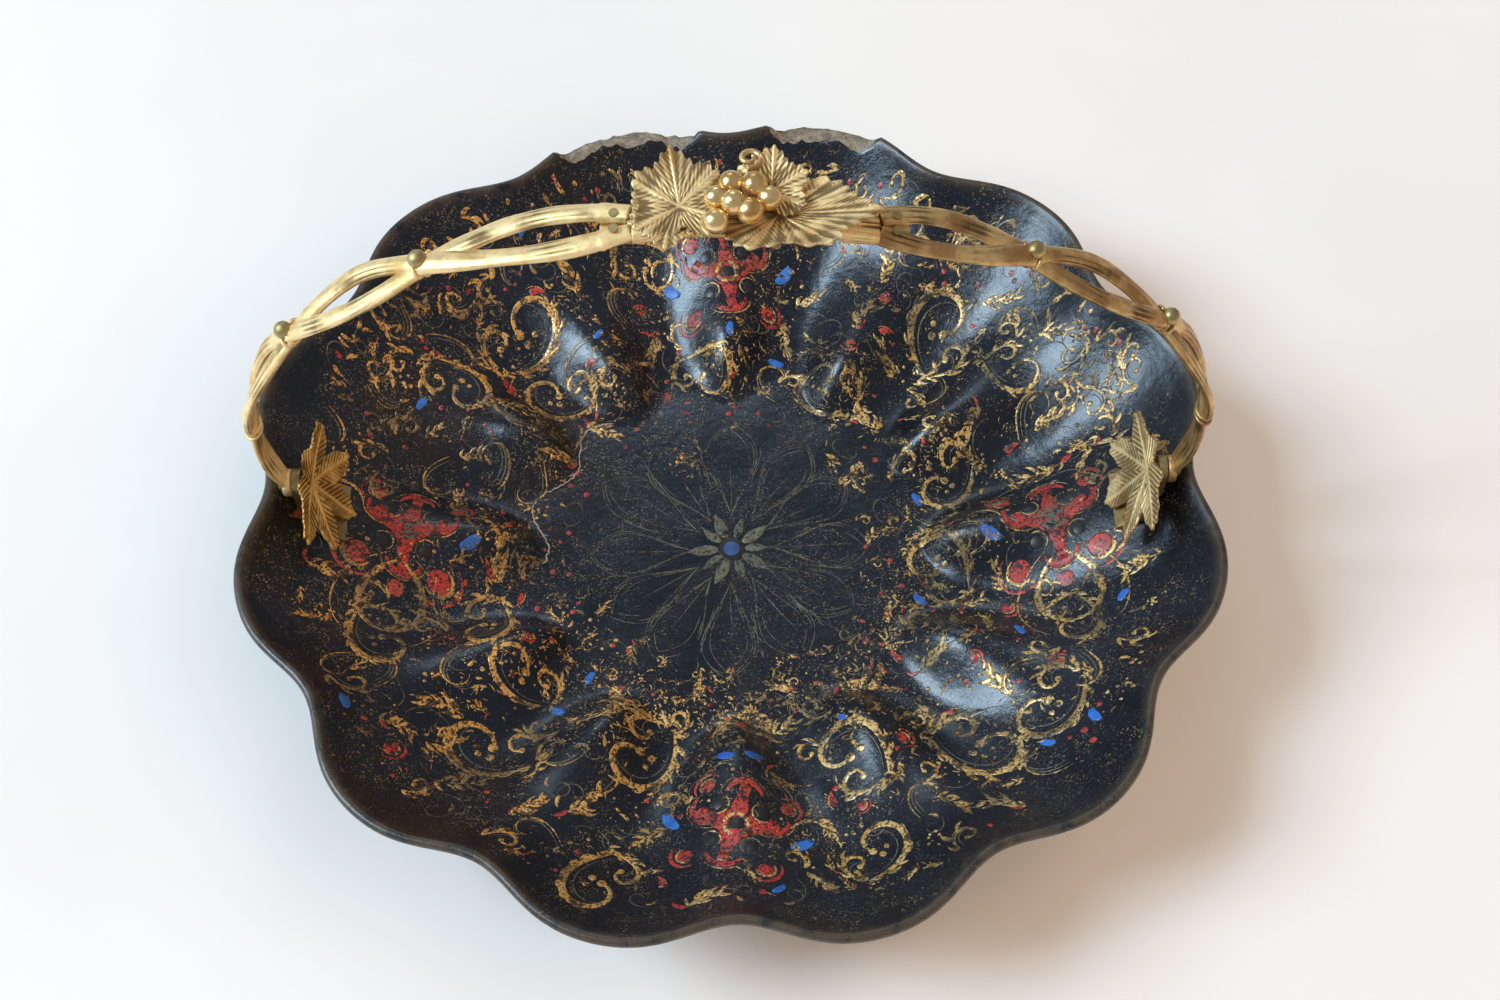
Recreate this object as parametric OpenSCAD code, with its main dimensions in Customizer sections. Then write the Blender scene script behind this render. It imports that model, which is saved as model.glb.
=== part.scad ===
// Scalloped lacquered dish with a cast brass vine handle that swings on two wall brackets.
// Origin: centre of the flat base, where the dish stands. +Z is up, and the handle spans X.

/* [Dish] */
// Mean radius of the scalloped rim
dish_r = 150; // [146:1:156]
// Height of the rim above the table
dish_h = 48; // [46:1:52]
// Depth of a lobe, as a share of the mean radius
scallop = 0.032; // [0.02:0.002:0.04]
// Thickness of the floor
floor_t = 4; // [3:0.5:5]
// Radius of the flat floor at the ridge noses
floor_r = 62.7; // [56:0.1:66]
// How far the floor runs out between two noses
floor_bay = 8; // [4:1:10]
// Height of a ridge's nose above the floor
nose_h = 14; // [8:1:16]
// Share of the wall over which a nose rises
nose_run = 0.3; // [0.2:0.05:0.4]
// Half thickness of the rounded rim
edge_r = 1.6; // [1.4:0.1:1.8]

/* [Handle] */
// Half width of the arch where it is widest
arch_w = 141.5; // [140.5:0.5:142]
// Height of the arch above its widest place
arch_h = 95; // [80:1:105]
// Height of the widest place above the table
arch_z = 74; // [70:1:80]
// Width of one strand
strand_w = 6.2; // [5:0.2:7]
// Thickness of one strand
strand_t = 3.2; // [2.8:0.1:3.4]
// How far the two strands part from the middle line
strand_part = 5.7; // [4.5:0.1:7]
// Where the left arm meets the centre stem
left_joint_x = 24.5; // [22:0.5:28]
// Where the right arm meets the centre stem
right_joint_x = 39.5; // [36:0.5:42]

/* [Hinge] */
// Distance from the middle to the centre of an arm's eye
pivot_x = 137; // [136.6:0.1:137.2]
// Height of the hinge line above the table
pivot_z = 48; // [47.6:0.1:49]
// Radius of a hinge pin
pin_r = 1.5; // [1.2:0.1:1.8]
// Radial clearance of an arm's eye on its pin
pin_play = 0.05; // [0.03:0.01:0.09]
// Radius of an arm's eye
eye_r = 4.3; // [4:0.1:4.5]
// Thickness of an arm's eye
eye_t = 2.8; // [2.6:0.1:3]

/* [Mounts] */
// Thickness of a bracket's lug
lug_t = 2.5; // [2:0.1:2.8]
// Distance from the middle to the middle of a bracket's foot
foot_x = 127; // [126:0.5:128]
// Width of a bracket's foot along the wall
foot_w = 20; // [18:1:22]
// Length of a bracket's foot up the wall
foot_l = 10; // [9:0.5:11]
// Radius of a wall rivet's shank
rivet_r = 1.2; // [1:0.1:1.4]
// Half the width of a leaf plate
plate_half_w = 23; // [20:1:25]
// Length of a leaf plate from its stalk to its tip
plate_l = 22; // [19:1:23]

/* [Spray] */
// Radius of a grape
grape_r = 3.4; // [3.2:0.1:3.6]
// Thickness of a leaf
leaf_t = 1.3; // [1.1:0.1:1.5]

/* [Hidden] */
lobes = 12;
steps_per_lobe = 12;
scallop_sharp = 0.0037;
ridge_sharp = 1.3;
flute_power = 2;
wall_power = 4;
nose_power = 2.2;
inner_steps = [0, 0.025, 0.06, 0.11, 0.17, 0.24, 0.33, 0.44, 0.56, 0.68, 0.8, 0.91, 1];
outer_steps = [1, 0.88, 0.74, 0.6, 0.46, 0.33, 0.22, 0.12, 0.05, 0];
edge_turn = 45;
fit_gap = 0.3;

strand_sides = 10;
arch_step = 2;
lower_steps = 7;
lens_l = 50;
knot_s = 31;
knot_spread = 1.8;
last_lens_turn = 155;
strand_start = 2.5;

foot_t = 1.6;
backing_t = 1.2;
rivet_y = 7;
head_h = 1.1;
head_r = 2.3;
pin_head_r = 2.5;
pin_head_t = 1;
foot_lift = 0.5;
plate_slope = 64;
plate_x = 129.6;
post_r = 1.5;
post_z = 42.8;

stem_w = 10;
stem_t = 4.4;
stem_down = 0.5;
tongue_t = 1.2;
tongue_l = 9;
joint_rivet_r = 0.8;
joint_rivet_y = 2.6;
joint_rivet_in = 4.5;
joint_rivet_head = [1.3, 0.6];
joint_rivet_foot = [1.5, 0.7];
tongue_gap = 0.1;
bud_r = 2.6;
bud_lift = 0.4;
bud_shank_r = 0.9;
bud_foot = [1.9, 0.9];
drill_l = 12;
plate_spread = 44;
plate_reach = 0.82;
plate_body = 0.4;
spray_spread = 56;
spray_body = 0.74;
leaf_cup = 0.9;
leaf_level = 2.2;
tendril_r = 0.9;
tendril_size = 3.3;
tendril_wind = 0.72;
tendril_rise = 0.6;
tendril_turns = 1.4;
tendril_steps = 26;
tendril_at = [6.2, 13.4, 1.4];
tendril_turned = -100;

brass_pale = [0.78, 0.66, 0.36];
brass_brown = [0.6, 0.45, 0.2];
lacquer = [0.05, 0.055, 0.08];

// ---------------------------------------------------------------- general
function unit(v) = v / norm(v);
function turn_between(a, b) = let (d = abs(a - b) % 360) min(d, 360 - d);
function bell(a, centre, width) = exp(-pow(turn_between(a, centre) / width, 2));

// A closed skin over rings of equal length, with a flat fan at each end.
module ring_skin(rings) {
    n = len(rings[0]);
    last = len(rings) - 1;
    points = [for (ring = rings) each ring];
    sides = [
        for (i = [0:last - 1], j = [0:n - 1])
            let (k = (j + 1) % n)
            each [
                [i * n + j, (i + 1) * n + j, (i + 1) * n + k],
                [i * n + j, (i + 1) * n + k, i * n + k]
            ]
    ];
    first_cap = [for (j = [0:n - 1]) j];
    last_cap = [for (j = [n - 1:-1:0]) last * n + j];
    polyhedron(points = points, faces = concat(sides, [first_cap, last_cap]), convexity = 10);
}

// ---------------------------------------------------------------- dish
function rim_r(a) =
    dish_r * (1 - scallop * cos(lobes * a) - scallop_sharp * cos(2 * lobes * a));
function floor_edge(a) = floor_r + floor_bay * (1 - cos(lobes * a)) / 2;
function ridge_share(a) = pow((1 + cos(lobes * a)) / 2, ridge_sharp);
wall_rise = dish_h - floor_t - edge_r * (1 - sin(edge_turn));
function nose_rise(t) = 1 - pow(1 - min(t / nose_run, 1), nose_power);
function ridge_rise(t) = nose_h * nose_rise(t) + (wall_rise - nose_h) * pow(t, wall_power);
function flute_rise(t) = wall_rise * pow(t, flute_power);
function wall_end(a) = rim_r(a) - edge_r * (1 + cos(edge_turn));

function inner_r(t, a) = floor_edge(a) + t * (wall_end(a) - floor_edge(a));
function inner_z(t, a) =
    let (share = ridge_share(a))
    floor_t + share * ridge_rise(t) + (1 - share) * flute_rise(t);
function inner_point(t, a) =
    let (r = inner_r(t, a))
    [r * cos(a), r * sin(a), inner_z(t, a)];
function outer_point(t, a) =
    let (
        out = 2 * edge_r * cos(edge_turn) * t,
        down = floor_t + (2 * edge_r * sin(edge_turn) - floor_t) * t,
        r = inner_r(t, a) + out
    )
    [r * cos(a), r * sin(a), inner_z(t, a) - down];
function edge_point(turn, a) =
    let (r = rim_r(a) - edge_r + edge_r * cos(turn))
    [r * cos(a), r * sin(a), dish_h - edge_r + edge_r * sin(turn)];

dish_angles = [for (i = [0:lobes * steps_per_lobe - 1]) i * 360 / (lobes * steps_per_lobe)];
edge_turns = [edge_turn * 2, edge_turn, 0];
dish_rings = concat(
    [for (t = inner_steps) [for (a = dish_angles) inner_point(t, a)]],
    [for (turn = edge_turns) [for (a = dish_angles) edge_point(turn, a)]],
    [for (t = outer_steps) [for (a = dish_angles) outer_point(t, a)]]
);

// Height and slope of the wall along a ridge, at distance x from the middle.
function ridge_t(x) = (x - floor_edge(0)) / (wall_end(0) - floor_edge(0));
function ridge_z(x) = floor_t + ridge_rise(ridge_t(x));
function ridge_slope(x) = atan((ridge_z(x + 0.5) - ridge_z(x - 0.5)));

// Children are placed on the wall under the right bracket, +Z along the wall's normal.
module on_wall() {
    translate([foot_x, 0, ridge_z(foot_x)]) rotate([0, -ridge_slope(foot_x), 0]) children();
}

module at_side(side) {
    if (side > 0) children();
    else mirror([1, 0, 0]) children();
}

module dish_shell() {
    color(lacquer) difference() {
        ring_skin(dish_rings);
        for (side = [-1, 1]) at_side(side) on_wall()
            for (y = [-rivet_y, rivet_y])
                translate([0, y, -4 * floor_t]) cylinder(r = rivet_r, h = 8 * floor_t, $fn = 48);
    }
}

// ---------------------------------------------------------------- wall mounts
lug_x = pivot_x - eye_t / 2 - fit_gap - lug_t;
wall_t = 2 * edge_r + 0.6;

// Side view of the strap that rises from the foot, a little clear of the wall, to the lug.
lug_side = [
    [lug_x, pivot_z],
    [lug_x + lug_t, pivot_z],
    [lug_x + lug_t, ridge_z(lug_x + lug_t) + foot_lift],
    [foot_x + foot_l / 4, ridge_z(foot_x + foot_l / 4) + foot_lift + foot_t / 2],
    [foot_x + foot_l / 8, ridge_z(foot_x + foot_l / 4) + foot_lift + foot_t],
    [lug_x, ridge_z(lug_x) + foot_lift + foot_t * 2]
];

// Distance from the middle to the back of the leaf plate, at height z.
function plate_back(z) = plate_x - (pivot_z - z) / tan(plate_slope) + leaf_t / 2;

module hinge_bracket(side) {
    color(brass_pale) at_side(side) difference() {
        union() {
            on_wall() difference() {
                translate([-foot_l / 2, -foot_w / 2, foot_lift]) cube([foot_l, foot_w, foot_t]);
                for (y = [-rivet_y, rivet_y])
                    translate([0, y, -1]) cylinder(r = rivet_r, h = foot_t + 2, $fn = 48);
            }
            rotate([90, 0, 0]) linear_extrude(height = 2 * eye_r, center = true) polygon(lug_side);
            translate([lug_x, 0, pivot_z]) rotate([0, 90, 0]) cylinder(r = eye_r, h = lug_t, $fn = 64);
            translate([plate_back(post_z), 0, post_z]) rotate([0, 90, 0])
                cylinder(r = post_r, h = lug_x + lug_t / 2 - plate_back(post_z), $fn = 32);
        }
        translate([lug_x - 1, 0, pivot_z]) rotate([0, 90, 0]) cylinder(r = pin_r, h = lug_t + 2, $fn = 64);
    }
}

module wall_rivets(side) {
    foot_top = foot_lift + foot_t;
    shank_l = foot_top + wall_t + backing_t;
    color(brass_brown) at_side(side) on_wall()
        for (y = [-rivet_y, rivet_y])
            translate([0, y, 0]) {
                translate([0, 0, foot_top - shank_l]) cylinder(r = rivet_r, h = shank_l, $fn = 48);
                translate([0, 0, foot_top]) cylinder(r1 = head_r, r2 = head_r * 0.6, h = head_h, $fn = 48);
                translate([0, 0, foot_top - shank_l - head_h])
                    cylinder(r1 = head_r * 0.6, r2 = head_r, h = head_h, $fn = 48);
            }
}

module backing_plate(side) {
    color(brass_brown) at_side(side) on_wall() difference() {
        translate([-foot_l / 2, -foot_w / 2, -wall_t - backing_t]) cube([foot_l, foot_w, backing_t]);
        for (y = [-rivet_y, rivet_y])
            translate([0, y, -2 * wall_t]) cylinder(r = rivet_r, h = 2 * wall_t, $fn = 48);
    }
}

module hinge_pin(side) {
    inner_end = lug_x - pin_head_t;
    outer_end = pivot_x + eye_t / 2 + fit_gap;
    color(brass_brown) at_side(side) translate([0, 0, pivot_z]) rotate([0, 90, 0]) {
        translate([0, 0, inner_end]) cylinder(r = pin_r, h = outer_end + pin_head_t - inner_end, $fn = 64);
        translate([0, 0, inner_end]) cylinder(r = pin_head_r, h = pin_head_t, $fn = 64);
        translate([0, 0, outer_end]) cylinder(r = pin_head_r, h = pin_head_t, $fn = 64);
    }
}

// ---------------------------------------------------------------- leaves
// Outline of a vine leaf about the foot of its stalk: a point at angle 0, a pair at `spread`
// and a pair at twice that. Between the points it draws in to `body` of its reach.
function leaf_outline(a, spread, body) =
    let (
        points = max(
            bell(a, 0, 0.42 * spread),
            0.88 * bell(a, spread, 0.38 * spread), 0.88 * bell(a, -spread, 0.38 * spread),
            0.7 * bell(a, 2 * spread, 0.4 * spread), 0.7 * bell(a, -2 * spread, 0.4 * spread)
        ),
        notch = 1 - 0.45 * bell(a, 180, 28)
    )
    (body + (1 - body) * points) * notch;
leaf_rings = [0.12, 0.45, 0.75, 1];
leaf_corners = 48;

// Length is from the stalk to the tip, width a factor across it, and cup the rise at the rim.
module vine_leaf(length, width, cup, spread, body) {
    function leaf_point(f, a, down) =
        let (r = length * f * leaf_outline(a, spread, body))
        [r * cos(a), width * r * sin(a), cup * f * f * (1 - 0.35 * cos(5 * a)) - down];
    angles = [for (i = [0:leaf_corners - 1]) i * 360 / leaf_corners];
    ring_skin(concat(
        [for (f = leaf_rings) [for (a = angles) leaf_point(f, a, 0)]],
        [for (i = [len(leaf_rings) - 1:-1:0]) let (f = leaf_rings[i])
            [for (a = angles) leaf_point(f, a, leaf_t * (1.2 - 0.5 * f))]]
    ));
}

// The plate leans off the wall: its stalk is at the lug and its tip rests low on the ridge.
module leaf_plate(side) {
    color(brass_pale) at_side(side)
        translate([plate_x, 0, pivot_z]) rotate([0, 180 - plate_slope, 0]) mirror([0, 0, 1])
            vine_leaf(plate_l, plate_half_w / plate_l / plate_reach, 1, plate_spread, plate_body);
}

// ---------------------------------------------------------------- arch of the handle
function arch_point(turn) = [arch_w * cos(turn), 0, arch_z + arch_h * sin(turn)];
function lower_point(share) =
    [
        arch_w - (arch_w - pivot_x) * pow(1 - share, 2),
        0,
        pivot_z + (arch_z - pivot_z) * share
    ];
function joint_turn(joint_x) = acos(joint_x / arch_w);
function arm_line(joint_x) =
    let (end = joint_turn(joint_x), n = ceil(end / arch_step))
    concat(
        [for (i = [0:lower_steps - 1]) lower_point(i / lower_steps)],
        [for (i = [0:n]) arch_point(end * i / n)]
    );
function lengths(line) =
    [
        for (i = 0, s = 0; i < len(line);
             s = s + (i < len(line) - 1 ? norm(line[i + 1] - line[i]) : 0), i = i + 1) s
    ];

// How far a strand lies from the arch's middle line, at s along the arm of length l.
function strand_off(s, l) =
    let (last = knot_s + 2 * lens_l)
    s < knot_s ? knot_spread * sin(180 * s / knot_s)
    : s < last ? -strand_part * sin(180 * (s - knot_s) / lens_l)
    : -strand_part * sin(last_lens_turn * (s - last) / (l - last));

function place_on(line, s) =
    let (
        l = lengths(line),
        i = max([for (k = [0:len(line) - 2]) l[k] <= s ? k : 0]),
        f = (s - l[i]) / (l[i + 1] - l[i])
    )
    line[i] + f * (line[i + 1] - line[i]);
function arch_turn(p) = atan2((p[2] - arch_z) / arch_h, p[0] / arch_w);
function arch_normal(p) =
    p[2] > arch_z ? unit([cos(arch_turn(p)) / arch_w, 0, sin(arch_turn(p)) / arch_h]) : [1, 0, 0];

// Rings of an oval section, w wide and t thick, along a line whose normals are given.
function oval_rings(line, normals, w, t, sides) =
    [
        for (i = [0:len(line) - 1])
            let (
                along = unit(line[min(i + 1, len(line) - 1)] - line[max(i - 1, 0)]),
                up = unit(normals[i] - along * (normals[i] * along)),
                across = cross(up, along)
            )
            [
                for (j = [0:sides - 1])
                    let (a = 360 * (j + 0.5) / sides)
                    line[i] + w / 2 * cos(a) * across + t / 2 * sin(a) * up
            ]
    ];

module strand(joint_x, hand) {
    line = arm_line(joint_x);
    run = lengths(line);
    total = run[len(run) - 1];
    kept = [for (i = [0:len(line) - 1]) if (run[i] > strand_start) i];
    places = [for (i = kept) line[i] + [0, hand * strand_off(run[i], total), 0]];
    ring_skin(oval_rings(places, [for (i = kept) arch_normal(line[i])], strand_w, strand_t, strand_sides));
}

// Children are placed on the arch s along an arm, +Z out of the arch and +X towards the joint.
module on_arm(joint_x, s) {
    p = place_on(arm_line(joint_x), s);
    up = arch_normal(p);
    translate(p) rotate([0, atan2(up[0], up[2]), 0]) children();
}

function arm_length(joint_x) = let (run = lengths(arm_line(joint_x))) run[len(run) - 1];

// Children are placed where a joint's rivets pass through an arm and the stem.
module at_joint(joint_x) {
    on_arm(joint_x, arm_length(joint_x) - joint_rivet_in) children();
}

module joint_drill() {
    for (y = [-joint_rivet_y, joint_rivet_y])
        translate([0, y, -drill_l / 2]) cylinder(r = joint_rivet_r, h = drill_l, $fn = 32);
}

module arm(side, joint_x, tone) {
    color(tone) at_side(side) difference() {
        union() {
            strand(joint_x, 1);
            strand(joint_x, -1);
            translate([pivot_x - eye_t / 2, 0, pivot_z]) rotate([0, 90, 0])
                cylinder(r = eye_r, h = eye_t, $fn = 64);
        }
        translate([pivot_x - eye_t, 0, pivot_z]) rotate([0, 90, 0])
            cylinder(r = pin_r + pin_play, h = 2 * eye_t, $fn = 64);
        at_joint(joint_x) joint_drill();
    }
}

module bud_studs(side, joint_x) {
    color(brass_pale) at_side(side)
        for (s = [knot_s + lens_l, knot_s + 2 * lens_l]) on_arm(joint_x, s) {
            foot_z = -strand_t / 2 - bud_foot[1];
            translate([0, 0, strand_t / 2 + bud_r * bud_lift]) sphere(r = bud_r, $fn = 48);
            translate([0, 0, foot_z]) cylinder(r = bud_shank_r, h = strand_t / 2 - foot_z, $fn = 32);
            translate([0, 0, foot_z]) cylinder(r = bud_foot[0], h = bud_foot[1], $fn = 32);
        }
}

module joint_rivets(side, joint_x) {
    low = -strand_t / 2 - tongue_t - tongue_gap;
    foot_h = joint_rivet_foot[1];
    color(brass_brown) at_side(side) at_joint(joint_x)
        for (y = [-joint_rivet_y, joint_rivet_y]) translate([0, y, 0]) {
            translate([0, 0, low]) cylinder(r = joint_rivet_r, h = strand_t / 2 - low, $fn = 32);
            translate([0, 0, low - foot_h]) cylinder(r = joint_rivet_foot[0], h = foot_h, $fn = 32);
            translate([0, 0, strand_t / 2])
                cylinder(r = joint_rivet_head[0], h = joint_rivet_head[1], $fn = 32);
        }
}

// ---------------------------------------------------------------- centre spray
stem_top = stem_t / 2 - stem_down;
function arch_top(x) = arch_z + arch_h * sqrt(1 - pow(x / arch_w, 2));
stem_from = -left_joint_x + 0.2;
stem_to = right_joint_x - 0.2;
stem_steps = 16;

// A flat bar along the arch from x0 to x1, its middle `down` below the arch line.
module arch_bar(x0, x1, w, t, down, steps) {
    xs = [for (i = [0:steps]) x0 + (x1 - x0) * i / steps];
    normals = [for (x = xs) unit([x / pow(arch_w, 2), 0, (arch_top(x) - arch_z) / pow(arch_h, 2)])];
    line = [for (i = [0:steps]) [xs[i], 0, arch_top(xs[i])] - down * normals[i]];
    ring_skin(oval_rings(line, normals, w, t, 12));
}

module centre_stem() {
    tongue_down = strand_t / 2 + tongue_t / 2 + tongue_gap;
    color(brass_pale) difference() {
        union() {
            arch_bar(stem_from, stem_to, stem_w, stem_t, stem_down, stem_steps);
            arch_bar(stem_from - tongue_l, stem_from + tongue_l, stem_w, tongue_t, tongue_down, 6);
            arch_bar(stem_to - tongue_l, stem_to + tongue_l, stem_w, tongue_t, tongue_down, 6);
        }
        at_side(-1) at_joint(left_joint_x) joint_drill();
        at_joint(right_joint_x) joint_drill();
    }
}

// A leaf on the stem: the stalk's foot at (x, y) on the given level, pointing at angle `turn`
// and tilted up by `tilt`.
module spray_leaf(x, y, level, turn, tilt, length, width) {
    color(brass_pale)
        translate([x, y, arch_top(x) + stem_top + leaf_t * 1.2 + level * leaf_level])
            rotate([0, 0, turn]) rotate([0, -tilt, 0])
                vine_leaf(length, width, leaf_cup, spray_spread, spray_body);
}

module back_left_leaf() {
    spray_leaf(x = -12, y = 0, level = 1, turn = 98, tilt = 10, length = 17.5, width = 0.8);
}

module front_left_leaf() {
    spray_leaf(x = -14, y = 0.5, level = 0, turn = 262, tilt = 3, length = 13.5, width = 0.95);
}

module back_right_leaf() {
    spray_leaf(x = 11.5, y = 4.5, level = 1, turn = 84, tilt = 14, length = 12.5, width = 0.86);
}

module front_right_leaf() {
    spray_leaf(x = 13.5, y = -1, level = 0, turn = -1, tilt = 3, length = 26.5, width = 0.52);
}

// Seven grapes that grow into each other, each as [x, y, height above the lowest seat].
grape_places = [
    [-2.5, 0.5, 0.4], [-2.8, -6.5, -0.3], [6, -4, 0.6], [11, 0.6, 0],
    [1.4, 5.8, -0.2], [7.2, 4, 1.2], [1.8, -2.2, 1.8]
];
grape_seat = arch_top(0) + stem_top + leaf_t + leaf_level / 2 + grape_r * 0.8;

module grape_cluster() {
    color(brass_brown) translate([0, 0, grape_seat])
        for (place = grape_places) translate(place) sphere(r = grape_r, $fn = 48);
}

function tendril_point(f) =
    let (a = 360 * tendril_turns * f, r = tendril_size * (1 - tendril_wind * f))
    [r * cos(a), r * sin(a), tendril_rise * f];

module tendril() {
    line = [for (i = [0:tendril_steps]) tendril_point(i / tendril_steps)];
    normals = [for (p = line) [0, 0, 1]];
    color(brass_pale) translate(tendril_at + [0, 0, arch_top(0) + stem_top + 2 * leaf_level])
        rotate([0, 0, tendril_turned])
            ring_skin(oval_rings(line, normals, 2 * tendril_r, 2 * tendril_r, 6));
}

dish_shell();
hinge_bracket(-1);  // left_hinge_bracket
hinge_bracket(1);  // right_hinge_bracket
leaf_plate(-1);  // left_leaf_plate
leaf_plate(1);  // right_leaf_plate
wall_rivets(-1);  // left_wall_rivets
wall_rivets(1);  // right_wall_rivets
backing_plate(-1);  // left_backing_plate
backing_plate(1);  // right_backing_plate
hinge_pin(-1);  // left_hinge_pin
hinge_pin(1);  // right_hinge_pin
arm(-1, left_joint_x, brass_pale);  // left_arm
arm(1, right_joint_x, brass_brown);  // right_arm
bud_studs(-1, left_joint_x);  // left_bud_studs
bud_studs(1, right_joint_x);  // right_bud_studs
centre_stem();
joint_rivets(-1, left_joint_x);  // left_joint_rivets
joint_rivets(1, right_joint_x);  // right_joint_rivets
back_left_leaf();
front_left_leaf();
back_right_leaf();
front_right_leaf();
grape_cluster();
tendril();
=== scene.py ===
"""A scalloped papier-mache dish in painted black lacquer, with a cast brass vine handle.

Lengths in this file are in millimetres until mesh_object() turns them into metres. Angles run
anticlockwise from +X, in radians unless a name says degrees. The dish's surface is the same
formula as in the CAD model, at a finer step and with small irregularities.
"""
import math

import bpy
import numpy as np
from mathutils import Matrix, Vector


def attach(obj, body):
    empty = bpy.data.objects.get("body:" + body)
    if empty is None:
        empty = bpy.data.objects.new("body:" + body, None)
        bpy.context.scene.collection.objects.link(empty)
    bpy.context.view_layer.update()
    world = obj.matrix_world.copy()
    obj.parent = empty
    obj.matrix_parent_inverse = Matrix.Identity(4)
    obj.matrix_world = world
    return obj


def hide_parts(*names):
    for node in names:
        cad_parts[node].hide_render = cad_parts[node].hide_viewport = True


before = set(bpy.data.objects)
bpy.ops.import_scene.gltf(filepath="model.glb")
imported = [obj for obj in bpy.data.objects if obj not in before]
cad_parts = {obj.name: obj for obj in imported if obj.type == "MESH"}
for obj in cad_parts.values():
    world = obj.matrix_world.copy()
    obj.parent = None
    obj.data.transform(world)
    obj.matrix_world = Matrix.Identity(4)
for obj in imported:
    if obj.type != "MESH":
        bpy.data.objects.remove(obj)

MM = 0.001
TAU = 2 * math.pi
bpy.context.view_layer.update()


# ---- meshes
def link(name, data):
    """A new object in the scene."""
    made = bpy.data.objects.new(name, data)
    bpy.context.scene.collection.objects.link(made)
    return made


def mesh_object(name, points, faces, materials, body, replaces=(), marks=None, face_slots=None):
    """A smooth mesh object from points in millimetres. marks holds named values, one a point."""
    mesh = bpy.data.meshes.new(name)
    mesh.from_pydata((np.asarray(points, float) * MM).tolist(), [], faces)
    mesh.polygons.foreach_set("use_smooth", [True] * len(mesh.polygons))
    for key, values in (marks or {}).items():
        mark = mesh.attributes.new(key, "FLOAT", "POINT")
        mark.data.foreach_set("value", np.asarray(values, np.float32).ravel())
    for material in materials:
        mesh.materials.append(material)
    if face_slots is not None:
        mesh.polygons.foreach_set("material_index", np.asarray(face_slots, np.int32))
    mesh.update()
    piece = link(name, mesh)
    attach(piece, body)
    if replaces:
        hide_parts(*replaces)


def grid_faces(rows, columns):
    """Quads between closed rings of points, each ring a row."""
    i = np.arange(rows - 1)[:, None] * columns
    j = np.arange(columns)[None, :]
    k = (j + 1) % columns
    quads = np.stack([i + j, i + k, i + columns + k, i + columns + j], -1)
    return quads.reshape(-1, 4).tolist()


def skin_faces(rows, columns):
    """The same quads, with a flat cap on the first ring and on the last."""
    caps = [list(range(columns))[::-1], list(range((rows - 1) * columns, rows * columns))]
    return grid_faces(rows, columns) + caps


class Parts:
    """Gathers several closed shells into one mesh."""

    def __init__(self):
        self.points, self.faces, self.marks, self.count = [], [], [], 0

    def add(self, points, faces, marks=0.0):
        points = np.asarray(points, float).reshape(-1, 3)
        self.points.append(points)
        self.faces += [[v + self.count for v in face] for face in faces]
        self.marks.append(np.broadcast_to(np.asarray(marks, float).ravel(), (len(points),)))
        self.count += len(points)

    def tube(self, rings, marks=0.0):
        """A closed skin over an array of rings, rows x columns x 3."""
        self.add(rings, skin_faces(*rings.shape[:2]), marks)

    def make(self, name, material, body, slot, replaces=()):
        marks = {"relief": np.concatenate(self.marks)}
        points = np.concatenate(self.points)
        mesh_object(name, points, self.faces, [material], body, replaces, marks)


RIPPLE_WAVES, RIPPLE_LOW, RIPPLE_HIGH = 7, 0.6, 1.8


def ripple(seed, *coordinates):
    """Smooth seeded noise of about -1 to 1, from a few waves in as many dimensions as it is given."""
    rng = np.random.default_rng(seed)
    total = 0.0
    for _ in range(RIPPLE_WAVES):
        direction = rng.normal(size=len(coordinates))
        direction *= rng.uniform(RIPPLE_LOW, RIPPLE_HIGH) / np.linalg.norm(direction)
        phase = sum(d * c for d, c in zip(direction, coordinates)) + rng.uniform(0, TAU)
        total = total + np.sin(phase)
    return total / math.sqrt(RIPPLE_WAVES)


def smooth_step(x, low, high):
    f = np.clip((x - low) / (high - low), 0, 1)
    return f * f * (3 - 2 * f)


def circle(sides):
    """The angles of a ring of points."""
    return np.arange(sides) * TAU / sides


def polar(r, a):
    """Points in plan from a radius and an angle."""
    return np.stack([r * np.cos(a), r * np.sin(a)], -1)


def radius_and_angle(plan):
    return np.hypot(plan[..., 0], plan[..., 1]), np.arctan2(plan[..., 1], plan[..., 0])


# ---- the dish's surface
LOBES = 12
DISH_R, DISH_H = 150.0, 48.0
SCALLOP, SCALLOP_SHARP = 0.032, 0.0037
FLOOR_T, FLOOR_R, FLOOR_BAY = 4.0, 62.7, 8.0
NOSE_H, NOSE_RUN, NOSE_POWER = 14.0, 0.3, 2.2
RIDGE_SHARP, FLUTE_POWER, WALL_POWER = 1.3, 2.0, 4.0
EDGE_R, EDGE_TURN = 1.6, math.radians(45)
WALL_RISE = DISH_H - FLOOR_T - EDGE_R * (1 - math.sin(EDGE_TURN))


def rim_radius(a):
    return DISH_R * (1 - SCALLOP * np.cos(LOBES * a) - SCALLOP_SHARP * np.cos(2 * LOBES * a))


def floor_edge(a):
    return FLOOR_R + FLOOR_BAY * (1 - np.cos(LOBES * a)) / 2


def wall_end(a):
    return rim_radius(a) - EDGE_R * (1 + math.cos(EDGE_TURN))


def wall_share(r, a):
    """How far up the wall a point is: 0 at the floor's edge, 1 where the rim's rounding starts."""
    return (r - floor_edge(a)) / (wall_end(a) - floor_edge(a))


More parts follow.
